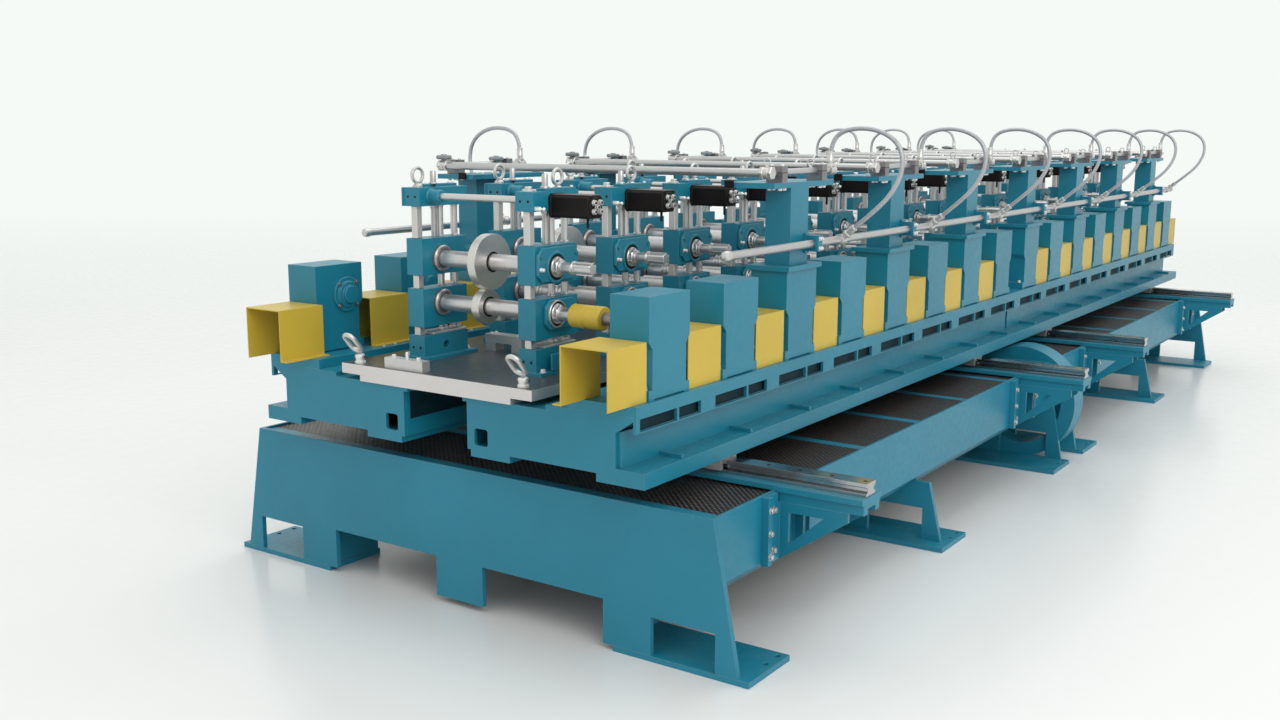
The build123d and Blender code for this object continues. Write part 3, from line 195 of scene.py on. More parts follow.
def brick_pattern():
    """Signs, axis marks and faces of a box whose 8 corners are each cut into 3 points, one on each face."""
    signs = np.array([(a, b, c) for a in (-1, 1) for b in (-1, 1) for c in (-1, 1)], float)
    corner = np.tile(signs, (3, 1))
    axis = np.repeat(np.eye(3), 8, 0)
    v = corner + 0.5 * corner * axis
    quads = []
    for a in range(3):
        b, c = (a + 1) % 3, (a + 2) % 3
        for s in (-1, 1):
            k = [n for n in range(8) if signs[n][a] == s]
            k.sort(key=lambda n: math.atan2(signs[n][b], signs[n][c]))
            quads.append([a * 8 + n for n in k])
        for s in (-1, 1):
            for u in (-1, 1):
                low, high = [n for n in range(8) if signs[n][b] == s and signs[n][c] == u]
                quads.append([b * 8 + low, b * 8 + high, c * 8 + high, c * 8 + low])
    tris = [[n, 8 + n, 16 + n] for n in range(8)]
    out = []
    for group in (quads, tris):
        f = np.array(group)
        p = v[f]
        normal = np.cross(p[:, 1] - p[:, 0], p[:, 2] - p[:, 0])
        away = (normal * p.mean(1)).sum(1) > 0
        out.append(np.where(away[:, None], f, f[:, ::-1]))
    return corner, axis, out


CORNER, ON_AXIS, BRICK_FACES = brick_pattern()


def bricks(lows, highs, bevel=1.5):
    """Boxes with cut edges: point = middle + sign (half - b) + sign b on the face's own axis."""
    a, b = np.atleast_2d(np.asarray(lows, float)), np.atleast_2d(np.asarray(highs, float))
    middle, half = (a + b)[:, None] / 2, abs(b - a)[:, None] / 2
    v = middle + CORNER[None] * (half - bevel) + (CORNER * ON_AXIS)[None] * bevel
    shift = np.arange(len(a))[:, None, None] * 24
    return v.reshape(-1, 3), [(f[None] + shift).reshape(-1, f.shape[1]) for f in BRICK_FACES]


def tube(path, radius, sides, normal):
    """Round tube on a closed flat path: ring point = p + r (cos a n + sin a (t x n)), n the plane's normal."""
    p = np.asarray(path, float)
    t = np.roll(p, -1, 0) - np.roll(p, 1, 0)
    t /= np.linalg.norm(t, axis=1)[:, None]
    n = np.asarray(normal, float)[None]
    a = full_turn(sides)[None, :, None]
    v = p[:, None] + radius * (np.cos(a) * n[:, None] + np.sin(a) * np.cross(t, n)[:, None])
    return v.reshape(-1, 3), [lattice(len(p), sides, True)]


def regular(radius, sides):
    """Corners of a regular outline, anticlockwise."""
    return polar(radius, full_turn(sides))


def lobed(radius, depth, lobes, per_lobe=6):
    """Outline of a hand knob: r = R (1 - depth (1 - cos(n t)) / 2)."""
    t = full_turn(lobes * per_lobe)
    return polar(radius * (1 - depth * (1 - np.cos(lobes * t)) / 2), t)


def hex_bolt(radius, height):
    """A hexagonal head on a washer."""
    return join([turned(((1.3 * radius, 0), (1.3 * radius, 0.18 * height)), 12),
                 plate(regular(radius, 6), 0.18 * height, height, 0.12 * radius)])


def cap_screw(radius, height, sides=10):
    """A socket head: a chamfered drum with a sunk round bottom."""
    c = 0.15 * radius
    return turned(((radius, -1), (radius, height - c), (radius - c, height), (0.55 * radius, height),
                   (0.5 * radius, 0.45 * height)), sides)


def pit(radius, sides=12):
    """A drilled bore seen from outside: a thin dark disc of painted shade, 0.3 mm proud of its face."""
    return turned(((radius, -2), (radius, 0.3)), sides)


def dress(name, form, material, body="bed", stands_for=(), sharp=32.0):
    """Make one mesh piece in metres from a shape in millimetres, and hang it on its body."""
    v, faces = form
    mesh = bpy.data.meshes.new(name)
    sizes = np.concatenate([np.full(len(f), f.shape[1]) for f in faces])
    corners = np.concatenate([f.ravel() for f in faces])
    mesh.vertices.add(len(v))
    mesh.vertices.foreach_set("co", ((v - CENTRE) * MM).astype(np.float32).ravel())
    mesh.loops.add(len(corners))
    mesh.loops.foreach_set("vertex_index", corners.astype(np.int32))
    mesh.polygons.add(len(sizes))
    mesh.polygons.foreach_set("loop_start", (np.cumsum(sizes) - sizes).astype(np.int32))
    mesh.polygons.foreach_set("loop_total", sizes.astype(np.int32))
    mesh.update(calc_edges=True)
    mesh.polygons.foreach_set("use_smooth", np.ones(len(sizes), bool))
    mesh.set_sharp_from_angle(angle=math.radians(sharp))
    mesh.materials.append(material)
    piece = bpy.data.objects.new(name, mesh)
    bpy.context.scene.collection.objects.link(piece)
    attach(piece, body)
    if stands_for:
        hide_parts(*stands_for)


# Camera, light and floor


def camera():
    """Set the camera that matches the photograph."""
    data = bpy.data.cameras.new("view")
    data.lens = LENS_MM
    data.sensor_width = 36.0
    data.clip_end = 100.0
    obj = bpy.data.objects.new("view", data)
    obj.location = CAMERA_AT
    obj.rotation_mode = "XYZ"
    obj.rotation_euler = (math.pi / 2 - CAMERA_PITCH, CAMERA_ROLL, CAMERA_YAW - math.pi / 2)
    bpy.context.scene.collection.objects.link(obj)
    bpy.context.scene.camera = obj


def area_light(name, place, target, size, power, colour):
    """Add a soft rectangular light aimed at a point."""
    data = bpy.data.lights.new(name, "AREA")
    data.shape = "RECTANGLE"
    data.size, data.size_y = size
    data.energy = power
    data.color = colour
    obj = bpy.data.objects.new(name, data)
    obj.location = place
    aim = [t - p for t, p in zip(target, place)]
    flat = math.hypot(aim[0], aim[1])
    obj.rotation_euler = (math.atan2(flat, -aim[2]), 0.0, math.atan2(aim[1], aim[0]) - math.pi / 2)
    bpy.context.scene.collection.objects.link(obj)


def add(tree, kind, values=None, **settings):
    """Add a shader node; a value that is a socket is linked, any other is set."""
    made = tree.nodes.new(kind)
    for key, value in settings.items():
        setattr(made, key, value)
    for key, value in (values or {}).items():
        if isinstance(value, bpy.types.NodeSocket):
            tree.links.new(value, made.inputs[key])
        else:
            made.inputs[key].default_value = value
    return made


def mix(tree, factor, a, b):
    """Blend two colours."""
    return add(tree, "ShaderNodeMix", {0: factor, 6: a, 7: b}, data_type="RGBA").outputs[2]


def maths(tree, operation, *values):
    """One sum on values or sockets."""
    return add(tree, "ShaderNodeMath", dict(enumerate(values)), operation=operation).outputs[0]


def own_place(tree):
    """Place of a point in the object's own frame."""
    return add(tree, "ShaderNodeTexCoord").outputs["Object"]


def bump(tree, strength, distance, height, **normal):
    """Tilt the surface by a height map."""
    values = {"Strength": strength, "Distance": distance, "Height": height, **normal}
    return add(tree, "ShaderNodeBump", values).outputs[0]


def crossed_waves(tree, turns, scale):
    """Sets of waves over the object's own place, each laid at its own turn."""
    waves = []
    for angles in turns:
        laid = add(tree, "ShaderNodeMapping", {"Vector": own_place(tree), "Rotation": angles}).outputs[0]
        waves.append(add(tree, "ShaderNodeTexWave", {"Vector": laid, "Scale": scale}).outputs["Fac"])
    return waves


def spread(tree, value, low, high, to_low=0.0, to_high=1.0):
    """Map a range of values to another, and stop at its ends."""
    return add(tree, "ShaderNodeMapRange", {0: value, 1: low, 2: high, 3: to_low, 4: to_high}).outputs[0]


def world():
    """Light the scene with an even pale surround."""
    sky = bpy.data.worlds.new("sky")
    sky.use_nodes = True
    back = sky.node_tree.nodes["Background"]
    back.inputs["Color"].default_value = (0.913, 0.956, 0.921, 1)
    back.inputs["Strength"].default_value = 1.0
    bpy.context.scene.world = sky


def group(name, inputs, outputs):
    """Start a shared shader group with named number inputs; return it with its two ends."""
    tree = bpy.data.node_groups.new(name, "ShaderNodeTree")
    for label, value in inputs.items():
        made = tree.interface.new_socket(label, in_out="INPUT", socket_type="NodeSocketFloat")
        made.default_value = value
    for label, kind in outputs.items():
        tree.interface.new_socket(label, in_out="OUTPUT", socket_type=kind)
    return tree, tree.nodes.new("NodeGroupInput").outputs, tree.nodes.new("NodeGroupOutput").inputs


def edge_group():
    """Rounded edge normals, and a mask that is high where a face turns over an edge."""
    tree, given, out = group("rounded_edges", {"Radius": 0.002, "Gain": 8.0},
                             {"Normal": "NodeSocketVector", "Edge": "NodeSocketFloat"})
    soft = add(tree, "ShaderNodeBevel", {"Radius": given["Radius"]}, samples=4).outputs[0]
    true = add(tree, "ShaderNodeNewGeometry").outputs["True Normal"]
    dot = add(tree, "ShaderNodeVectorMath", {0: soft, 1: true}, operation="DOT_PRODUCT").outputs["Value"]
    edge = maths(tree, "MULTIPLY", maths(tree, "SUBTRACT", 1.0, dot), given["Gain"])
    tree.links.new(soft, out["Normal"])
    tree.links.new(maths(tree, "MINIMUM", edge, 1.0), out["Edge"])
    return tree


def cloud_group():
    """Slow and fine noise over the object's own place, for tone and gloss that change over a face."""
    tree, given, out = group("cloudy", {"Broad": 2.5, "Fine": 60.0},
                             {"Slow": "NodeSocketFloat", "Quick": "NodeSocketFloat"})
    place = own_place(tree)
    for label, scale, detail in (("Slow", "Broad", 3.0), ("Quick", "Fine", 4.0)):
        noise = add(tree, "ShaderNodeTexNoise", {"Vector": place, "Scale": given[scale], "Detail": detail})
        tree.links.new(noise.outputs[0], out[label])
    return tree


def dust_group():
    """Dust that lies on faces that look up, broken by noise."""
    tree, given, out = group("settled_dust", {"Scale": 14.0}, {"Dust": "NodeSocketFloat"})
    normal = add(tree, "ShaderNodeNewGeometry").outputs["True Normal"]
    up = spread(tree, add(tree, "ShaderNodeSeparateXYZ", {0: normal}).outputs["Z"], 0.6, 1.0)
    place = own_place(tree)
    noise = add(tree, "ShaderNodeTexNoise", {"Vector": place, "Scale": given["Scale"], "Detail": 5.0}).outputs[0]
    tree.links.new(maths(tree, "MULTIPLY", up, spread(tree, noise, 0.35, 0.7)), out["Dust"])
    return tree


def streak_group():
    """Fine tool marks: noise drawn out along two axes, given as how often it changes along each."""
    tree, given, out = group("tool_marks", {"Along X": 8.0, "Along Y": 500.0, "Along Z": 8.0},
                             {"Mark": "NodeSocketFloat"})
    place = own_place(tree)
    scale = add(tree, "ShaderNodeCombineXYZ", {0: given["Along X"], 1: given["Along Y"], 2: given["Along Z"]})
    drawn = add(tree, "ShaderNodeVectorMath", {0: place, 1: scale.outputs[0]}, operation="MULTIPLY").outputs[0]
    noise = add(tree, "ShaderNodeTexNoise", {"Vector": drawn, "Scale": 1.0, "Detail": 3.0}).outputs[0]
    tree.links.new(noise, out["Mark"])
    return tree


EDGES, CLOUDS, DUST, MARKS = edge_group(), cloud_group(), dust_group(), streak_group()


def shared(tree, which, **values):
    """Place a shared group in a material with its own values."""
    made = tree.nodes.new("ShaderNodeGroup")
    made.node_tree = which
    for label, value in values.items():
        made.inputs[label.replace("_", " ")].default_value = value
    return made.outputs


def blank(name):
    """A new material, its node tree and its shader."""
    mat = bpy.data.materials.new(name)
    mat.use_nodes = True
    return mat, mat.node_tree, mat.node_tree.nodes["Principled BSDF"]


def finish(tree, shader, colour, rough, normal, metal=0.0):
    """Join colour, roughness and normal to the shader, and set how metallic it is."""
    shader.inputs["Metallic"].default_value = metal
    tree.links.new(colour, shader.inputs["Base Color"])
    tree.links.new(rough, shader.inputs["Roughness"])
    tree.links.new(normal, shader.inputs["Normal"])


def rgba(colour, gain=1.0):
    """A colour times a gain, with full alpha."""
    return tuple(gain * c for c in colour) + (1.0,)


def paint(name, colour, rough=0.36, radius=0.0022, wear_and_highlight=0.35, dusty=0.05):
    """Satin enamel: tone drifts slowly, edges are lighter from wear and a painted highlight, dust lies on top, and
    the skin has a fine peel.
    """
    mat, tree, shader = blank(name)
    edges = shared(tree, EDGES, Radius=radius, Gain=7.0)
    clouds = shared(tree, CLOUDS, Broad=2.2, Fine=45.0)
    tone = mix(tree, spread(tree, clouds["Slow"], 0.3, 0.7), rgba(colour, 0.93), rgba(colour, 1.07))
    # Lighter edges: partly wear, partly a painted highlight where the edges catch the light.
    pale = tuple(min(1.0, 0.55 * c + 0.30) for c in colour)
    tone = mix(tree, maths(tree, "MULTIPLY", edges["Edge"], wear_and_highlight), tone, rgba(pale))
    dust = maths(tree, "MULTIPLY", shared(tree, DUST, Scale=9.0)["Dust"], dusty)
    tone = mix(tree, dust, tone, (0.55, 0.56, 0.55, 1))
    place = own_place(tree)
    peel = add(tree, "ShaderNodeTexNoise", {"Vector": place, "Scale": 420.0, "Detail": 2.0}).outputs[0]
    skin = bump(tree, 0.05, 0.0004, peel, Normal=edges["Normal"])
    gloss = spread(tree, maths(tree, "ADD", clouds["Quick"], dust), 0.3, 0.9, rough - 0.06, rough + 0.12)
    finish(tree, shader, tone, gloss, skin)
    return mat


def steel(name, colour, rough=0.34, along=(8.0, 500.0, 8.0), radius=0.0012, depth=0.012, metal=0.9):
    """Machined steel: faint marks across the cut, clouded gloss and edges brightened by a painted highlight."""
    mat, tree, shader = blank(name)
    edges = shared(tree, EDGES, Radius=radius, Gain=6.0)
    clouds = shared(tree, CLOUDS, Broad=5.0, Fine=40.0)
    mark = shared(tree, MARKS, Along_X=along[0], Along_Y=along[1], Along_Z=along[2])["Mark"]
    tone = mix(tree, spread(tree, mark, 0.3, 0.7), rgba(colour, 0.96), rgba(colour, 1.04))
    tone = mix(tree, spread(tree, clouds["Slow"], 0.45, 0.7, 0.0, 0.12), tone, rgba(colour, 0.8))
    # Painted highlight: the edges are mixed towards pale grey.
    tone = mix(tree, maths(tree, "MULTIPLY", edges["Edge"], 0.35), tone, rgba((0.86, 0.85, 0.84)))
    skin = bump(tree, depth, 0.0002, mark, Normal=edges["Normal"])
    gloss = spread(tree, clouds["Quick"], 0.3, 0.75, rough - 0.04, rough + 0.05)
    finish(tree, shader, tone, gloss, skin, metal)
    return mat


def bed_plate(name, edge, top):
    """Ground steel plate: pale on its cut edges, darker and smoother on the faces that look up."""
    mat, tree, shader = blank(name)
    edges = shared(tree, EDGES, Radius=0.0015, Gain=6.0)
    clouds = shared(tree, CLOUDS, Broad=3.0, Fine=30.0)
    normal = add(tree, "ShaderNodeNewGeometry").outputs["True Normal"]
    up = spread(tree, add(tree, "ShaderNodeSeparateXYZ", {0: normal}).outputs["Z"], 0.5, 0.9)
    tone = mix(tree, up, rgba(edge), rgba(top))
    tone = mix(tree, spread(tree, clouds["Slow"], 0.35, 0.7, 0.0, 0.2), tone, rgba(tuple(0.8 * c for c in edge)))
    # Painted highlight: the edges are mixed towards pale grey.
    tone = mix(tree, maths(tree, "MULTIPLY", edges["Edge"], 0.4), tone, rgba((0.85, 0.84, 0.82)))
    gloss = spread(tree, maths(tree, "ADD", up, clouds["Quick"]), 0.4, 1.6, 0.48, 0.3)
    finish(tree, shader, tone, gloss, edges["Normal"], 0.75)
    return mat


def plastic(name, colour, rough=0.42, grain=600.0, depth=0.08):
    """Moulded or cast black: a fine even grain with lighter edges, partly rubbed wear and partly a painted
    highlight.
    """
    mat, tree, shader = blank(name)
    edges = shared(tree, EDGES, Radius=0.0015, Gain=6.0)
    clouds = shared(tree, CLOUDS, Broad=9.0, Fine=grain)
    tone = mix(tree, spread(tree, clouds["Slow"], 0.3, 0.7), rgba(colour, 0.8), rgba(colour, 1.3))
    # Lighter edges: partly wear, partly a painted highlight.
    tone = mix(tree, maths(tree, "MULTIPLY", edges["Edge"], 0.3), tone, rgba(tuple(c + 0.12 for c in colour)))
    skin = bump(tree, depth, 0.0005, clouds["Quick"], Normal=edges["Normal"])
    gloss = spread(tree, clouds["Quick"], 0.3, 0.7, rough - 0.05, rough + 0.08)
    finish(tree, shader, tone, gloss, skin)
    shader.inputs["Specular IOR Level"].default_value = 0.2
    return mat


def tread(name, colour, raised):
    """Ribbed floor plate: small raised studs where two sets of slanting waves cross, coloured lighter on top as a
    painted highlight.
    """
    mat, tree, shader = blank(name)
    waves = crossed_waves(tree, ((0.0, 0.0, 0.785), (0.0, 0.0, -0.785)), 19.0)
    height = spread(tree, maths(tree, "MULTIPLY", *waves), 0.35, 0.8)
    clouds = shared(tree, CLOUDS, Broad=4.0, Fine=80.0)
    tone = mix(tree, spread(tree, clouds["Slow"], 0.3, 0.7), rgba(colour, 0.8), rgba(colour, 1.25))
    # Painted highlight: the tops of the studs are lighter in colour.
    tone = mix(tree, height, tone, rgba(raised))
    skin = bump(tree, 0.8, 0.002, height)
    gloss = spread(tree, clouds["Quick"], 0.3, 0.7, 0.36, 0.5)
    finish(tree, shader, tone, gloss, skin, 0.35)
    return mat


def hose_skin(name, colour, groove):
    """Braided hose: two crossing fine waves over the surface."""
    mat, tree, shader = blank(name)
    height = maths(tree, "MAXIMUM", *crossed_waves(tree, ((0.6, 0.6, 0.0), (-0.6, -0.6, 0.0)), 95.0))
    clouds = shared(tree, CLOUDS, Broad=12.0, Fine=120.0)
    tone = mix(tree, spread(tree, height, 0.2, 0.9), rgba(groove), rgba(colour))
    skin = bump(tree, 0.35, 0.0006, height)
    gloss = spread(tree, clouds["Quick"], 0.3, 0.7, 0.28, 0.45)
    finish(tree, shader, tone, gloss, skin, 0.45)
    return mat


def concrete(name, colour):
    """Pale smooth floor with a faint sheen, which fades into the pale surround away from the machine."""
    mat, tree, shader = blank(name)
    clouds = shared(tree, CLOUDS, Broad=0.6, Fine=12.0)
    tone = mix(tree, clouds["Slow"], rgba(colour, 0.985), rgba(colour, 1.015))
    place = own_place(tree)
    far = add(tree, "ShaderNodeVectorMath", {0: place, 1: VIEW_ALONG}, operation="DOT_PRODUCT").outputs["Value"]
    round_about = add(tree, "ShaderNodeVectorMath", {0: place}, operation="LENGTH").outputs["Value"]
    seen = maths(tree, "MINIMUM", spread(tree, far, *FADE_ALONG, 1.0, 0.0),
                 spread(tree, round_about, *FADE_ROUND, 1.0, 0.0))
    tree.links.new(seen, shader.inputs["Alpha"])
    gloss = spread(tree, clouds["Quick"], 0.3, 0.7, 0.2, 0.26)
    tree.links.new(tone, shader.inputs["Base Color"])
    tree.links.new(gloss, shader.inputs["Roughness"])
    shader.inputs["Specular IOR Level"].default_value = 0.4
    return mat


def floor():
    """A wide pale floor that isn't part of the machine."""
    mesh = bpy.data.meshes.new("floor")
    span = 30.0
    mesh.from_pydata([(-span, -span, 0), (span, -span, 0), (span, span, 0), (-span, span, 0)], [], [(0, 1, 2, 3)])
    obj = bpy.data.objects.new("floor", mesh)
    mesh.materials.append(concrete("floor", FLOOR_COLOUR))
    bpy.context.scene.collection.objects.link(obj)


# Hoses

HOSE_R = 9.0
HOSE_START_Z = 1600.0
HOSE_POINTS = [(0.0, 70.0), (-56.0, 124.0), (-188.0, 128.0), (-290.0, 72.0), (-310.0, -25.0),
               (-272.0, -120.0), (-199.0, -195.0)]
HOSE_DROP = HOSE_POINTS[-1][1]
HOSE_LEAN = 0.158
HOSE_END = (48.0, 39.0)


def hose_x(station, up):
    """Place of a hose along the line: straight above the tee, then leaning back as it drops."""
    return station + TEE_X + HOSE_LEAN * max(min(up, 0.0), HOSE_DROP)


def hose(name, station, side, skin):
    """A hose from a riser on a cap plate, over and down to the tap on the side tube."""
    route = [(hose_x(station, 0), side * PIPE_Y, HOSE_START_Z)]
    route += [(hose_x(station, up), side * (PIPE_Y - out), HOSE_START_Z + up) for out, up in HOSE_POINTS]
    route.append((hose_x(station, HOSE_DROP), side * (SIDE_TUBE_Y + HOSE_END[0]), SIDE_TUBE_Z + HOSE_END[1]))
    points = (np.array(route) - CENTRE) * MM
    curve = bpy.data.curves.new(name, "CURVE")
    curve.dimensions = "3D"
    curve.resolution_u = 10
    curve.bevel_depth = HOSE_R * MM
    curve.bevel_resolution = 3
    curve.use_fill_caps = True
    spline = curve.splines.new("NURBS")
    spline.points.add(len(points) - 1)
    spline.points.foreach_set("co", np.column_stack([points, np.ones(len(points))]).ravel())
    spline.order_u = 3
    spline.use_endpoint_u = True
    curve.materials.append(skin)
    piece = bpy.data.objects.new(name, curve)
    bpy.context.scene.collection.objects.link(piece)
    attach(piece, "bed")
    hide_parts("hoses_left" if side > 0 else "hoses_right")


def hoses(skin):
    """Two hoses on each portal, one a side."""
    for k, station in enumerate(PORTAL):
        for label, side in (("left", 1.0), ("right", -1.0)):
            hose(f"hose_{label}_{k + 1}", station, side, skin)


# Roll stands


def stands(m):
    """Bars, posts, pads, jack screws, spindles, nuts and ring bolts of the thirty-two pillars."""
    gaps = np.array(((BLOCK_TOP, 1002.0), (1143.0, 1193.0), (UP_CHOCK_TOP, HEAD_LOW)))
    mids = np.array((PILLAR_MID, -PILLAR_MID))
    bars = bricks(spots(STATION + 102, mids - 14, gaps[:, 0]), spots(STATION + 130, mids + 14, gaps[:, 1]), 2.0)
    dress("front_bars", bars, m["ground"], stands_for=("pillar_bars",))
    posts = []
    for z0, z1 in gaps[1:]:
        tall = z1 - z0
        one = turned(((16, 0), (16, 4), (13, 6), (13, tall - 6), (16, tall - 4), (16, tall)), 16)
        posts.append(repeat(one, spots(each(STATION, 236.0, 312.0), mids, [z0])))
    dress("round_posts", join(posts), m["shaft"], stands_for=("pillar_bars",))
    pad_top = BLOCK_TOP + 8
    pads = bricks(spots(STATION + 150, mids - 34.5, [BLOCK_TOP]), spots(STATION + 330, mids + 34.5, [pad_top]), 1.5)
    dress("pad_plates", pads, m["ground"], stands_for=("pillar_bars",))
    jack = join([turned(((9, 0), (9, 24)), 14), turned(((12, 3), (12, 10), (10, 11)), 14)])
    dress("jack_screws", repeat(jack, spots(each(STATION, 232.0, 254.0, 300.0, 322.0), mids, [pad_top])), m["zinc"],
          stands_for=("pillar_bars",))
    spindle = join([turned(((11, 0), (11, 117)), 16), turned(((15, 105), (15, 117)), 6),
                    turned(((11, 194), (11, 238), (9, 242)), 16), turned(((16, 194), (16, 198), (14, 200)), 16)])
    dress("spindles", repeat(spindle, spots(STATION + 205, mids, [UP_CHOCK_TOP])), m["thread"],
          stands_for=("pillar_bars",))
    nut = join([turned(((21, 0), (21, 5), (19, 6)), 18), turned(((13, 5), (13, 15), (11, 17)), 16)])
    dress("top_nuts", repeat(nut, spots(STATION + 116, [-PILLAR_MID], [HEAD_TOP])), m["steel"],
          stands_for=("pillar_bars",))
    ring = turn(turned(polar(6.5, full_turn(8)) + (26.5, 0), 22, True), "y", (0, 0, 44))
    collar = turned(((18, 0), (18, 8), (14, 11), (10, 14)), 16)
    eye = join([ring, collar])
    dress("ring_bolts", join([repeat(eye, spots(STATION + 125, [PILLAR_MID], [HEAD_TOP])),
                              repeat(eye, spots(STATION + 300, [-243.5], [HEAD_TOP]))]),
          m["steel"], stands_for=("lifting_eyes",))


def stand_fixings(m):
    """Bolts, screws, side plates, and drilled holes drawn as discs of painted shade, of the feet, blocks and head
    blocks.
    """
    bolt = hex_bolt(9, 11)
    places = np.concatenate([spots(each(STATION, 118.0, 214.0, 310.0), (316.0, -316.0), [FOOT_TOP]),
                             spots(STATION + 350, (244.0, 284.0, -244.0, -284.0), [FOOT_TOP])])
    dress("foot_bolts", repeat(bolt, places), m["zinc"])
    heads = spots(each(STATION, 172.0, 318.0), (270, 292, -292), [HEAD_COVER_TOP])
    dress("head_screws", repeat(cap_screw(6, 6), heads), m["zinc"])
    # Painted shade: dark discs stand for the shaded insides of the drilled holes.
    holes = [repeat(turn(pit(5), "-x"), spots(STATION + 92, (246, 281, -246, -281), [1478])),
             repeat(turn(pit(5.5), "-x"), spots(STATION + 99, (246, 281, -246, -281), [925]))]
    dress("drilled_holes", join(holes), m["hole"])
    sides = [bricks(spots(STATION + x0, [y0], [FOOT_TOP + 1]), spots(STATION + x1, [y1], [top]), 1.5)
             for x0, x1, y0, y1, top in ((150, 300, -332.0, -324.0, 952), (150, 300, 324.0, 332.0, 952),
                                         (205, 245, -326.0, -301.0, 946), (205, 245, 301.0, 326.0, 946))]
    dress("foot_side_plates", join(sides), m["teal"])


def covers(m):
    """Cornered bearing covers with a lip or rim, a dark disc of painted shade for the recess, and screws, and the
    collars and seals inside.
    """
    solids, rims, pits, screws = [], [], [], []
    for z, (x0, x1, low, high) in ((LOW_Z, LOW_COVER), (UP_Z, UP_COVER)):
        face = plate(cut_corners(x0, x1, low, high, 24.0), 0, COVER_T, 2.5)
        solids.append(repeat(turn(face, "-y"), spots(STATION + SHAFT_X, [-PILLAR_OUT], [z])))
        on_face = spots(STATION + SHAFT_X, [COVER_FACE], [z])
        if z == UP_Z:
            lip = turned(((56, 0), (56, 4), (54, 6), (48, 6), (46, 4), (46, 0)), 32, True)
            solids.append(repeat(turn(lip, "-y"), on_face))
        if z == LOW_Z:
            rim = turned(((49, 0), (49, 6), (47, 8), (44, 8), (43, 7), (43, 0)), 32, True)
            rims.append(repeat(turn(rim, "-y"), on_face))
        # Painted shade: a dark disc on the cover face stands for the shaded recess round the shaft.
        pits.append(repeat(turn(turned(((46, -1), (46, 0.6)), 32), "-y"), on_face))
        ends = spots((x0 + 14, x1 - 14), [COVER_FACE], (low + 30, high - 30))
        ends = ends[np.hypot(ends[:, 0], ends[:, 2]) > 55] + np.array((SHAFT_X, 0, z))
        screws.append(repeat(turn(cap_screw(6.5, 6), "-y"), combine(spots(STATION, [0], [0]), ends)))
    dress("cover_plates", join(solids), m["teal"], stands_for=("bearing_covers",))
    dress("cover_rims", join(rims), m["steel"], stands_for=("bearing_covers",))
    dress("cover_recesses", join(pits), m["hole"], stands_for=("bearing_covers",))
    dress("cover_screws", join(screws), m["teal"], stands_for=("bearing_covers",))
    nipple = turn(turned(((8, 0), (8, 4), (5, 5), (5, 9), (7, 10), (7, 14), (4, 16)), 12), "-y")
    dress("grease_nipples", repeat(nipple, spots(STATION + SHAFT_X - 84, [COVER_FACE], [UP_Z - 4])), m["zinc"])
    collar = turned(((49, 0), (49, 13), (44, 18), (40, 18), (39, 17), (37, 17), (37, 0)), 28, True)
    dress("bearing_collars", repeat(turn(collar, "-y"), spots(STATION + SHAFT_X, [PILLAR_IN], (LOW_Z, UP_Z))),
          m["collar"], stands_for=("bearing_rings",))
    seal = turned(((37.5, 0), (37.5, 15), (36, 16), (30.3, 16), (30.3, 0)), 28, True)
    dress("bearing_seals", repeat(turn(seal, "-y"), spots(STATION + SHAFT_X, [PILLAR_IN], (LOW_Z, UP_Z))),
          m["dark_steel"], stands_for=("bearing_rings",))


def lock_nut():
    """Ring nut round a shaft end: three steps, with six raised lands on the middle one."""
    steps = turned(((36, 0.8), (36, 7), (34, 9), (29, 9), (29, 21), (27, 23), (20, 23)), 32)
    lands = [turn_about(bricks((-5, 27, 8), (5, 32, 21), 1.0), angle) for angle in full_turn(6)]
    return join([steps] + lands)


def turn_about(form, angle):
    """Turn a shape about z by an angle."""
    c, s = math.cos(angle), math.sin(angle)
    return form[0] @ np.array(((c, s, 0), (-s, c, 0), (0, 0, 1.0))), form[1]


def splined_end(length, root, tip, teeth=6):
    """Toothed shaft end: each tooth is 0.2 radians wide each side of its middle, and rises over 0.03 more."""
    step = np.array((-0.40, -0.23, -0.20, 0.0, 0.20, 0.23, 0.40))
    r = np.array((root, root, tip, tip, tip, root, root))
    t = (np.pi / 2 + full_turn(teeth))[:, None] + step[None]
    return plate(polar(r, t).reshape(-1, 2), 0, length, 1.2)


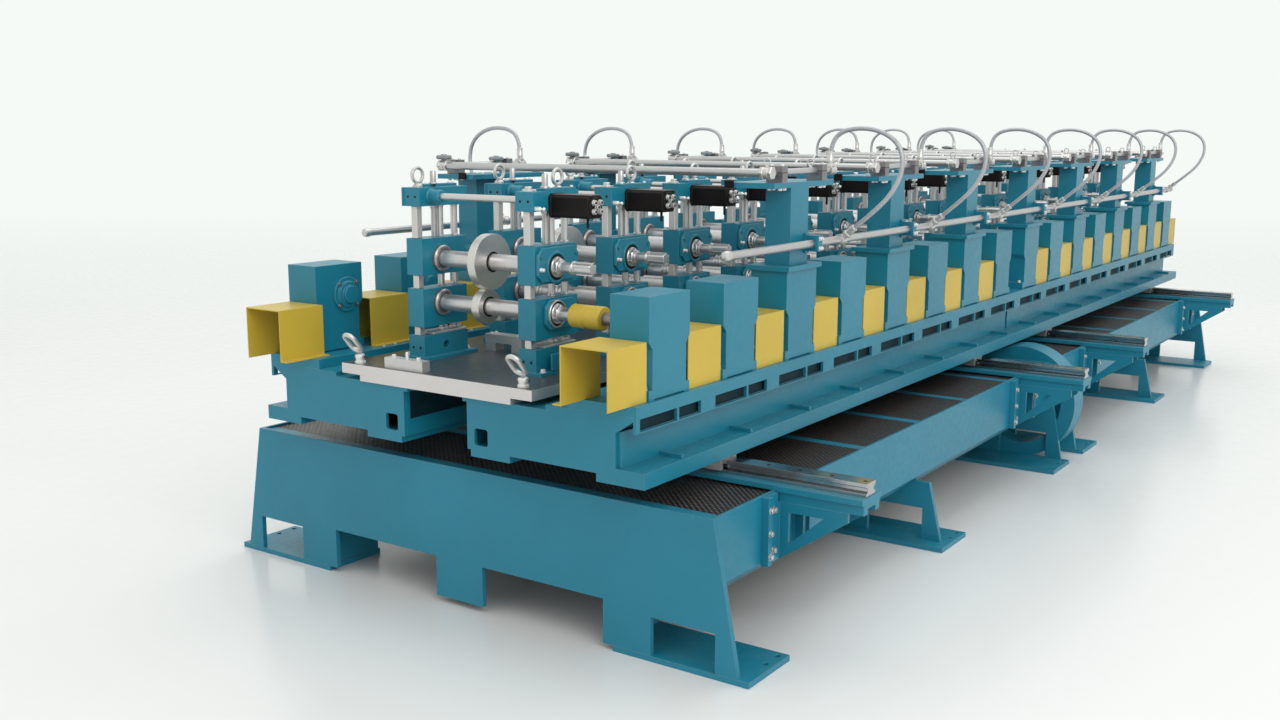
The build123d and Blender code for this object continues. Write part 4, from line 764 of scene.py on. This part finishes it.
def shaft_fittings(m):
    """Roll shafts with all that they carry: those of three stations turn, the others rest."""
    nut = repeat(turn(lock_nut(), "-y"), (0, COVER_FACE, 0))
    # Painted shade: a dark ring on each roll face stands for the shaded bore round the shaft.
    bore = turned(((37, -1), (37, 1), (30.5, 1), (30.5, -1)), 32, True)
    ribs = [turn(turned(((36, 0), (37, 1), (37, 6), (36, 7)), 28), "y", (0, y, 0))
            for y in (92, 108, 124, -18, -2, 14)]
    low_sleeve = turn(turned(((38, 0), (38, 150), (36, 152)), 28), "-y", (0, -72, 0))
    up_sleeve = turn(turned(((38, 0), (38, 140), (36, 142)), 28), "-y", (0, -82, 0))
    length = turn(turned(((30, 0), (30, 527)), 28), "y", (0, -PILLAR_OUT - 18, 0))
    neck = turn(turned(((26, 0), (26, 18), (18.5, 20), (18.5, 58), (20, 59), (20, 64)), 24), "-y", (0, -326, 0))
    collar = turn(turned(((23, 0), (25, 2), (25, 9), (22, 11), (22, 16)), 24), "-y", (0, -388, 0))
    teeth = turn(splined_end(70, 19.0, 23.0), "-y", (0, -404, 0))
    low_neck = turn(turned(((22, 0), (22, 72)), 24), "-y", (0, -322, 0))
    drive = turn(turned(((22, 0), (22, 134)), 24), "-y", (0, -523, 0))
    forms = {"upper": [length, neck, collar, teeth, nut], "lower": [length, low_neck, nut]}
    for k in range(POWERED):
        at = STATION[k] + SHAFT_X
        for label, z, roll_y, shown in (("upper", UP_Z, -11.0, k < 2), ("lower", LOW_Z, 9.0, k < 1)):
            body = f"{label}_shaft_{k + 1}"
            bare = [] if shown else [up_sleeve] if label == "upper" else [low_sleeve] + ribs
            dress(f"{label}_shaft_line_{k + 1}", repeat(join(forms[label] + bare), (at, 0, z)), m["shaft"], body,
                  stands_for=(body,))
            if shown:
                r = ROLL_R[label]
                roll = turned(((30, -17.5), (r - 0.8, -17.5), (r, -16.7), (r, 16.7), (r - 0.8, 17.5), (30, 17.5)),
                              96, True)
                dress(f"{label}_roll_{k + 1}", repeat(turn(roll, "y"), (at, roll_y, z)), m["roll"], body,
                      stands_for=(body,))
                rings = [repeat(turn(bore, axis), (at, roll_y + out, z)) for axis, out in (("y", 17), ("-y", -17))]
                dress(f"{label}_roll_bore_{k + 1}", join(rings), m["hole"], body)
            if label == "lower":
                dress(f"drive_stub_{k + 1}", repeat(drive, (at, 0, z)), m["dark_steel"], body, stands_for=(body,))
    rest = spots(STATION[POWERED:] + SHAFT_X, [0], [0])
    dress("upper_line", repeat(join(forms["upper"] + [up_sleeve]), rest + (0, 0, UP_Z)), m["shaft"],
          stands_for=("rear_upper_shafts",))
    dress("lower_line", repeat(join(forms["lower"] + [low_sleeve] + ribs), rest + (0, 0, LOW_Z)), m["shaft"],
          stands_for=("rear_lower_shafts",))
    dress("drive_stubs", repeat(drive, rest + (0, 0, LOW_Z)), m["dark_steel"], stands_for=("rear_lower_shafts",))


def drives(m):
    """Coupling sleeves, gearbox hubs with their screws, and cross rods with their bosses and ferrules."""
    sleeve = turned(((38, 0), (41, 3), (41, 60), (39.5, 61), (39.5, 71), (41, 72), (41, 129), (38, 132)), 28)
    dress("coupling_covers", repeat(turn(sleeve, "-y"), spots(STATION + SHAFT_X, [-392], [LOW_Z])), m["yellow"],
          stands_for=("coupling_sleeves",))
    wide = turned(((68, 0), (68, 8), (66, 10), (52, 10), (50, 12), (50, 17), (48, 19), (36, 19), (34, 21), (34, 30),
                   (32, 32)), 40)
    small = turned(((36, 0), (36, 14), (34, 16), (32, 16), (32, 30), (30, 32)), 28)
    places = spots(STATION + 152, [HUB_Y], [LOW_Z])
    dress("hubs_left", repeat(turn(wide, "-y"), places), m["teal"],
          stands_for=("gearbox_hubs",))
    dress("hubs_right", repeat(turn(small, "y"), spots(STATION + SHAFT_X, [-HUB_Y], [LOW_Z])), m["teal"],
          stands_for=("gearbox_hubs",))
    t = np.pi / 4 + full_turn(4)
    ring = np.stack([60 * np.cos(t), np.full(4, -9.0), 60 * np.sin(t)], -1)
    dress("hub_screws", repeat(turn(hex_bolt(6.5, 9), "-y"), combine(places, ring)), m["dark_steel"])
    rods = spots(STATION + ROD_X, [0], [ROD_Z])
    rod = turn(turned(((12, 0), (12, 395)), 20), "y", (0, -PILLAR_IN, 0))
    boss = turn(turned(((28, 0), (28, 6), (23.5, 9), (23.5, 53), (21, 56.5)), 24), "-y", (0, PILLAR_IN, 0))
    dress("cross_rods", repeat(rod, rods), m["shaft"], stands_for=("drive_rods",))
    dress("rod_bosses", repeat(boss, rods), m["teal"])
    ferrule = turn(turned(((17, 0), (17, 18), (15, 20)), 20), "y", (0, -PILLAR_IN, 0))
    dress("rod_ferrules", repeat(ferrule, rods), m["zinc"])


def actuators(m):
    """Black actuator housings with a flange, a lid, round connectors and a gland, and a stop pin beside each."""
    body = turn(plate(cut_corners(180, 262, 1422, 1500, 9), 8, 165, 2.0), "-y")
    flange = turn(plate(cut_corners(175, 267, 1420, 1503, 10), 0, 10, 1.5), "-y")
    end = turn(plate(cut_corners(186, 256, 1428, 1494, 22), 163, 170, 2.0), "-y")
    dress("actuator_bodies", repeat(join([body, flange, end]), spots(STATION, [-PILLAR_OUT], [0])), m["black"],
          stands_for=("actuators",))
    lid = bricks([(188, -165, 1499)], [(254, -12, 1502)], 1.0)
    dress("actuator_lids", repeat(lid, spots(STATION, [-PILLAR_OUT], [0])), m["bronze"],
          stands_for=("actuators",))
    plug = turn(turned(((10.5, 0), (10.5, 4), (9, 5), (9, 11), (8, 12)), 14), "-y")
    core = turn(turned(((5, 11), (5, 12.6)), 10), "-y")
    pattern = ((-17, -15), (17, -15), (-17, 15), (17, 15), (0, 0))
    around = combine(spots(STATION, [0], [0]), np.array([(221 + dx, -472, 1461 + dz) for dx, dz in pattern]))
    dress("actuator_connectors", repeat(plug, around), m["steel"], stands_for=("actuator_plugs",))
    # Painted shade: dark discs in the connector ends stand for their shaded openings.
    dress("connector_sockets", repeat(core, around), m["hole"])
    a = np.linspace(-1.1, 1.57, 9)
    ball = np.stack([6.5 * np.cos(a), 36 + 6.5 * np.sin(a)], -1)[:-1]
    pin = turn(turned(np.concatenate([((8, 0), (8, 20), (6, 23), (3.5, 24), (3.5, 29)), ball]), 16), "-y")
    dress("stop_pins", repeat(pin, spots(STATION + 106, [-PILLAR_OUT], [1454])), m["zinc"])
    lead = turned(((3.5, 0), (5, 4), (5, 36)), 10)
    dress("actuator_glands", repeat(lead, spots(STATION + 221, [-436], [1387])), m["black"])


def portals(m):
    """Tubes, unions, tees, taps, knobs, eyes, clamps, arm plates and side tube ends of the seven portals."""
    x = PORTAL
    tube_run = turn(turned(((16, 0), (16, 1530)), 20), "y", (0, -765, 0))
    dress("portal_tubes", repeat(tube_run, spots(x + TUBE_X, [0], [PIPE_Z])), m["tube"],
          stands_for=("cross_tubes",))
    run = turn(turned(((13, 0), (13, 460)), 18), "x", (TUBE_X + 22, 0, 0))
    dress("cap_pipes", repeat(run, spots(x, (PIPE_Y, -PIPE_Y), [PIPE_Z])), m["tube"], stands_for=("cross_tubes",))
    nut = plate(regular(25, 6), 0, 15, 2.0)
    union = join([turned(((20, 14), (22, 16), (22, 34), (20, 36)), 20), nut, turn(nut, "z", (0, 0, 35))])
    dress("unions", repeat(turn(union, "y", (TUBE_X, -25, 0)), spots(x, (PIPE_Y, -PIPE_Y), [PIPE_Z])), m["steel"],
          stands_for=("pipe_fittings",))
    across = turned(((17, 0), (21, 1), (21, 9), (17, 11), (17, 35), (21, 37), (21, 45), (17, 46)), 20)
    riser = turned(((12, 0), (12, 30), (14.5, 31), (14.5, 42), (13.5, 44), (13.5, 70), (12, 72)), 18)
    tee = join([turn(across, "x", (TEE_X - 23, 0, 0)), turn(plate(regular(18, 6), 14, 24, 1.5), "z", (TEE_X, 0, 0)),
                turn(riser, "z", (TEE_X, 0, 0))])
    dress("end_tees", repeat(tee, spots(x, (PIPE_Y, -PIPE_Y), [PIPE_Z])), m["steel"], stands_for=("pipe_fittings",))
    at = hose_x(0.0, HOSE_DROP)
    rise = math.atan2(HOSE_END[1], HOSE_END[0])
    c, s = math.cos(rise), math.sin(rise)
    taps = []
    for side in BOTH:
        barrel = turned(((18, 0), (21, 1), (21, 8), (18, 10), (18, 30), (21, 32), (21, 39), (18, 40)), 20)
        barrel = turn(barrel, "x", (-20, 0, 0))
        branch = join([turned(((12, 10), (12, 30), (13.5, 40), (13.5, 74), (12, 76)), 18),
                       plate(regular(18, 6), 28, 40, 1.5)])
        tilt = np.array(((1, 0, 0), (0, side * s, side * c), (0, -c, s)))
        if side < 0:
            tilt = tilt @ np.diag((-1.0, 1.0, 1.0))
        branch = branch[0] @ tilt.T, branch[1]
        taps.append(repeat(join([barrel, branch]), spots(x + at, [side * SIDE_TUBE_Y], [SIDE_TUBE_Z])))
    dress("side_taps", join(taps), m["steel"], stands_for=("pipe_fittings",))
    knob = join([plate(lobed(34, 0.26, 6), 3, 21, 5.0), turned(((12, -6), (12, 3)), 12),
                 turned(((13, 20), (13, 23), (10, 25)), 14)])
    on_union = repeat(knob, spots(x + TUBE_X, [PIPE_Y], [PIPE_Z + 23]))
    on_pipe = repeat(knob, spots(x + CAP_MID + 159 - 52.8, [PIPE_Y], [PIPE_Z + 12]))
    dress("hand_knobs", join([on_union, on_pipe]), m["knob"], stands_for=("valve_knobs",))
    eye = turn(turned(polar(3, full_turn(6)) + (13, 0), 16, True), "x", (0, 0, 40))
    drop = join([eye, turned(((7, 20), (7, 26), (4, 28)), 12)])
    dress("pipe_eyes", join([repeat(drop, spots(x + TUBE_X, [-PIPE_Y], [PIPE_Z])),
                             repeat(drop, spots(x + CAP_MID + 106, [-PIPE_Y], [PIPE_Z - 8]))]), m["steel"])
    screw = cap_screw(7, 7, 12)
    dress("clamp_screws", repeat(screw, spots(each(x + CAP_MID, -159.0, 159.0), CLAMP_BOLT_Y, [1590])), m["zinc"])
    under = turn(hex_bolt(8, 9), "-z")
    nuts = spots(each(x + CAP_MID, -175.0, -143.0, 143.0, 175.0), CLAMP_BOLT_Y, [CAP_TOP - 20])
    dress("cap_nuts", repeat(under, nuts), m["zinc"])
    heads = spots(each(x + 117.5, -50.0, 50.0), (735, 700, -735, -700), [CAP_TOP])
    dress("cap_screws", repeat(cap_screw(8, 6, 12), heads), m["zinc"])
    seam = bricks(spots(each(x + CAP_MID, -179.0, 139.0), (755.5, -824.5), [PIPE_Z - 1]),
                  spots(each(x + CAP_MID, -139.0, 179.0), (824.5, -755.5), [PIPE_Z + 1]), 0.3)
    dress("clamp_seams", seam, m["hole"])
    arm = bricks(spots(x + 151, (874, -888), [1272]), spots(x + 155, (888, -874), [1328]), 1.0)
    pads = bricks(spots(x + 157, (824, -832), [1262]), spots(x + 188, (832, -824), [1338]), 1.0)
    dress("arm_plates", join([arm, pads]), m["teal"])
    dress("arm_bolts", join([repeat(turn(hex_bolt(6, 7), "y" if side > 0 else "-y"),
                                    spots(each(x, 164.0, 181.0), [side * 887], (1282, 1318)))
                             for side in BOTH]), m["zinc"])
    cap = turned(((16.5, -24), (18, -22), (18, -2), (16, 3), (11, 6), (5, 7.5)), 20)
    sides = (SIDE_TUBE_Y, -SIDE_TUBE_Y)
    dress("side_tube_caps", join([repeat(turn(cap, axis), spots([end], sides, [SIDE_TUBE_Z]))
                                  for axis, end in (("-x", 420.0), ("x", 6830.0))]), m["steel"])
    collar = turned(((19, 0), (19, 10), (17, 12)), 20)
    dress("side_tube_collars", repeat(turn(collar, "x"), spots(x + 188, sides, [SIDE_TUBE_Z])), m["steel"])


def bed_fixings(m):
    """Bolts of the gearboxes, brackets and bed, with drilled holes in rails and plates drawn as discs of painted
    shade.
    """
    bolt = hex_bolt(7.5, 12)
    dress("gearbox_bolts", repeat(bolt, spots(each(STATION, 9.5, 225.5), (712, 818, -712, -818), [907])), m["zinc"])
    screws = spots(each(STATION, 268.0, 330.0), (612, -612), [873])
    dress("rail_screws", repeat(cap_screw(6, 4, 8), screws), m["zinc"])
    slides = np.array([x + a for x in BASE_STARTS for a in (468.0, 2925.0)])
    pad = turn(hex_bolt(10, 11), "-y")
    dress("bracket_bolts", repeat(pad, spots(each(slides, -147.0, 147.0), [-1103], (320, 400, 480))), m["steel"],
          "base")
    dress("bracket_bolts_inner", repeat(pad, spots(each(slides, -100.0, 100.0), [-1089], (330, 470))), m["steel"],
          "base")
    # Painted shade: dark discs stand for the shaded insides of the rail holes.
    dress("slide_rail_holes", repeat(pit(7, 12), spots(slides, np.arange(-1370.0, 980.0, 120.0), [591])), m["hole"],
          "base")


def painted_shade_and_gussets(m):
    """Dark sheets of painted shade behind the rail windows and on the inner webs of the bed, and gussets on the end
    feet.
    """
    x0, x1 = RAIL_ENDS
    # Painted shade: thin dark sheets fill the rail windows, where the inside lies in shade.
    painted_shade_plates = bricks([(x0 + 25, 828, 787), (x0 + 25, -834, 787)], [(x1 - 25, 834, 836), (x1 - 25, -828, 836)], 1.0)
    dress("window_liners", painted_shade_plates, m["painted_shade_plates"])
    # Painted shade: thin dark sheets cover the inner webs, which lie in shade.
    web = [(x0 + 30, WEB_IN - 2, WEB_LOW + 60), (x0 + 30, -WEB_IN - 2, WEB_LOW + 60)]
    web_far = [(x1 - 30, WEB_IN + 2, WEB_HIGH), (x1 - 30, -WEB_IN + 2, WEB_HIGH)]
    dress("web_liners", bricks(web, web_far, 1.0), m["painted_shade_plates"])
    lows, highs = [], []
    for x in BASE_STARTS:
        for side in BOTH:
            y0, y1 = sorted((side * (FOOT_IN + 1), side * (FOOT_IN + 11)))
            lows.append((x + 20, y0, 20))
            highs.append((x + 262, y1, 170))
    dress("foot_gussets", bricks(lows, highs, 1.5), m["base"], "base")


def strip_tools(m):
    """Lifting links on swivels and axles, bolts and pin of the keeper bar, and screws of the strip guide."""
    half, r, lean = 51.0, 23.0, math.radians(50)
    t = np.linspace(0, 2 * np.pi, 41)[:-1]
    oval = np.stack([np.sign(np.cos(t)) * (half - 8.5 - r) * (abs(np.cos(t)) > 1e-9) + r * np.cos(t), r * np.sin(t),
                     0 * t], -1)
    link = tube(oval, 8.5, 14, (0, 0, 1))
    c, s = math.cos(lean), math.sin(lean)
    tilt = np.array(((c, 0, s), (0, 1, 0), (-s, 0, c)))
    drop = half * s + 7 * c
    at = (-70 - half * c, 0, 914 + drop)
    link = link[0] @ tilt.T + at, link[1]
    dress("lifting_shackles", repeat(link, [(0, 385, 0), (0, -385, 0)]), m["steel"], stands_for=("lifting_links",))
    swivel = turned(((20, 0), (20, 7), (16, 9), (16, 16), (18, 20), (18, 27), (14, 33), (8, 34)), 22)
    dress("lifting_swivels", repeat(swivel, [(-70, 385, 880), (-70, -385, 880)]), m["zinc"],
          stands_for=("lifting_blocks",))
    axle = turn(turned(((6, 0), (6, 48), (4.5, 50)), 12), "y", (0, -25, 0))
    dress("lifting_axles", repeat(axle, [(-70, 385, 904), (-70, -385, 904)]), m["dark_steel"])
    bolt = hex_bolt(8, 10)
    dress("keeper_bolts", repeat(bolt, spots([-66], (95, 215), [918])), m["zinc"])
    dress("keeper_pin", repeat(turned(((6, 0), (6, 22), (4, 25)), 14), (-66, 150, 918)), m["zinc"])
    dress("guide_screws", repeat(cap_screw(6, 6, 12), spots((418, 442), (44, 176), [945])), m["zinc"])


def machine():
    """Make every finish, dress the CAD nodes with them and hang the pieces on the frame."""
    m = {
        "teal": paint("teal_enamel", (0.008, 0.188, 0.280)),
        "base": paint("base_enamel", (0.007, 0.190, 0.290), rough=0.4, radius=0.003),
        "yellow": paint("yellow_enamel", (0.58, 0.405, 0.042), rough=0.38, radius=0.0018, wear_and_highlight=0.25),
        "steel": steel("bright_fittings", (0.62, 0.60, 0.59), 0.36, (60.0, 60.0, 60.0), metal=0.8),
        "roll": steel("ground_rolls", (0.68, 0.65, 0.63), 0.34, (6.0, 700.0, 6.0), metal=0.92),
        "shaft": steel("turned_shafts", (0.64, 0.615, 0.62), 0.34, (6.0, 700.0, 6.0), metal=0.85),
        "ground": steel("ground_plates", (0.64, 0.62, 0.61), 0.42, (300.0, 20.0, 300.0), metal=0.7),
        "tube": steel("drawn_tubes", (0.53, 0.515, 0.52), 0.34, (20.0, 30.0, 200.0), metal=0.85),
        "collar": steel("bearing_steel", (0.40, 0.375, 0.375), 0.36, (60.0, 60.0, 60.0)),
        "thread": steel("screw_threads", (0.50, 0.49, 0.49), 0.36, (6.0, 6.0, 600.0), depth=0.3),
        "rail": steel("guide_rails", (0.46, 0.46, 0.47), 0.2, (20.0, 300.0, 20.0), metal=1.0),
        "dark_steel": steel("clamp_steel", (0.27, 0.25, 0.26), 0.4, (50.0, 50.0, 50.0)),
        "zinc": steel("zinc_fasteners", (0.80, 0.79, 0.79), 0.4, (90.0, 90.0, 90.0), metal=0.4),
        "plate": bed_plate("tool_plate", (0.70, 0.665, 0.66), (0.15, 0.15, 0.16)),
        "black": plastic("black_housings", (0.006, 0.0035, 0.0035), rough=0.5),
        # Painted shade: this dark finish stands for the shade inside holes, bores, sockets and recesses. It also
        # marks the real dark seams of the clamps.
        "hole": plastic("dark_recesses", (0.01, 0.012, 0.014), rough=0.7),
        # Painted shade: a dark teal finish for the sheets that stand for shade behind the windows and on the webs.
        "painted_shade_plates": plastic("shaded_liners", (0.003, 0.022, 0.032), rough=0.6),
        "bronze": plastic("lid_bronze", (0.095, 0.075, 0.068), rough=0.4),
        "knob": plastic("grey_knobs", (0.22, 0.23, 0.24), rough=0.4),
        "tread": tread("ribbed_plates", (0.022, 0.017, 0.016), (0.20, 0.175, 0.165)),
        "hose": hose_skin("braided_hose", (0.47, 0.47, 0.50), (0.33, 0.33, 0.36)),
    }
    base_nodes = set(frame["record"]["behaviour"]["bodies"]["base"])
    by_slot = {"teal_paint": "teal", "yellow_paint": "yellow", "bright_steel": "steel", "black_housing": "black",
               "tread_plate": "tread", "hose_grey": "hose"}
    own = {"tooling_plates": "plate", "slide_rails": "rail", "side_tubes": "tube", "carriages": "steel",
           "strip_guides": "ground", "tube_clamps": "dark_steel"}
    for name, obj in frame["nodes"].items():
        for s in obj.material_slots:
            pick = next((by_slot[key] for key in by_slot if s.material and key in s.material.name), "steel")
            if pick == "teal" and name in base_nodes:
                pick = "base"
            if "shaft_" in name:
                pick = "shaft"
            s.material = m[own.get(name, pick)]
    hoses(m["hose"])
    stands(m)
    stand_fixings(m)
    covers(m)
    shaft_fittings(m)
    drives(m)
    actuators(m)
    portals(m)
    bed_fixings(m)
    painted_shade_and_gussets(m)
    strip_tools(m)


camera()
floor()
world()
bpy.context.scene.view_settings.view_transform = "Standard"
area_light("key", place=(-6.4, -7.9, 6.3), target=(0.0, 0.0, 0.9), size=(7.0, 5.0), power=310.0,
           colour=(1.0, 0.99, 0.97))
area_light("over", place=(1.0, 0.5, 7.5), target=(1.0, 0.0, 0.0), size=(9.0, 5.0), power=160.0,
           colour=(0.97, 0.99, 1.0))
machine()
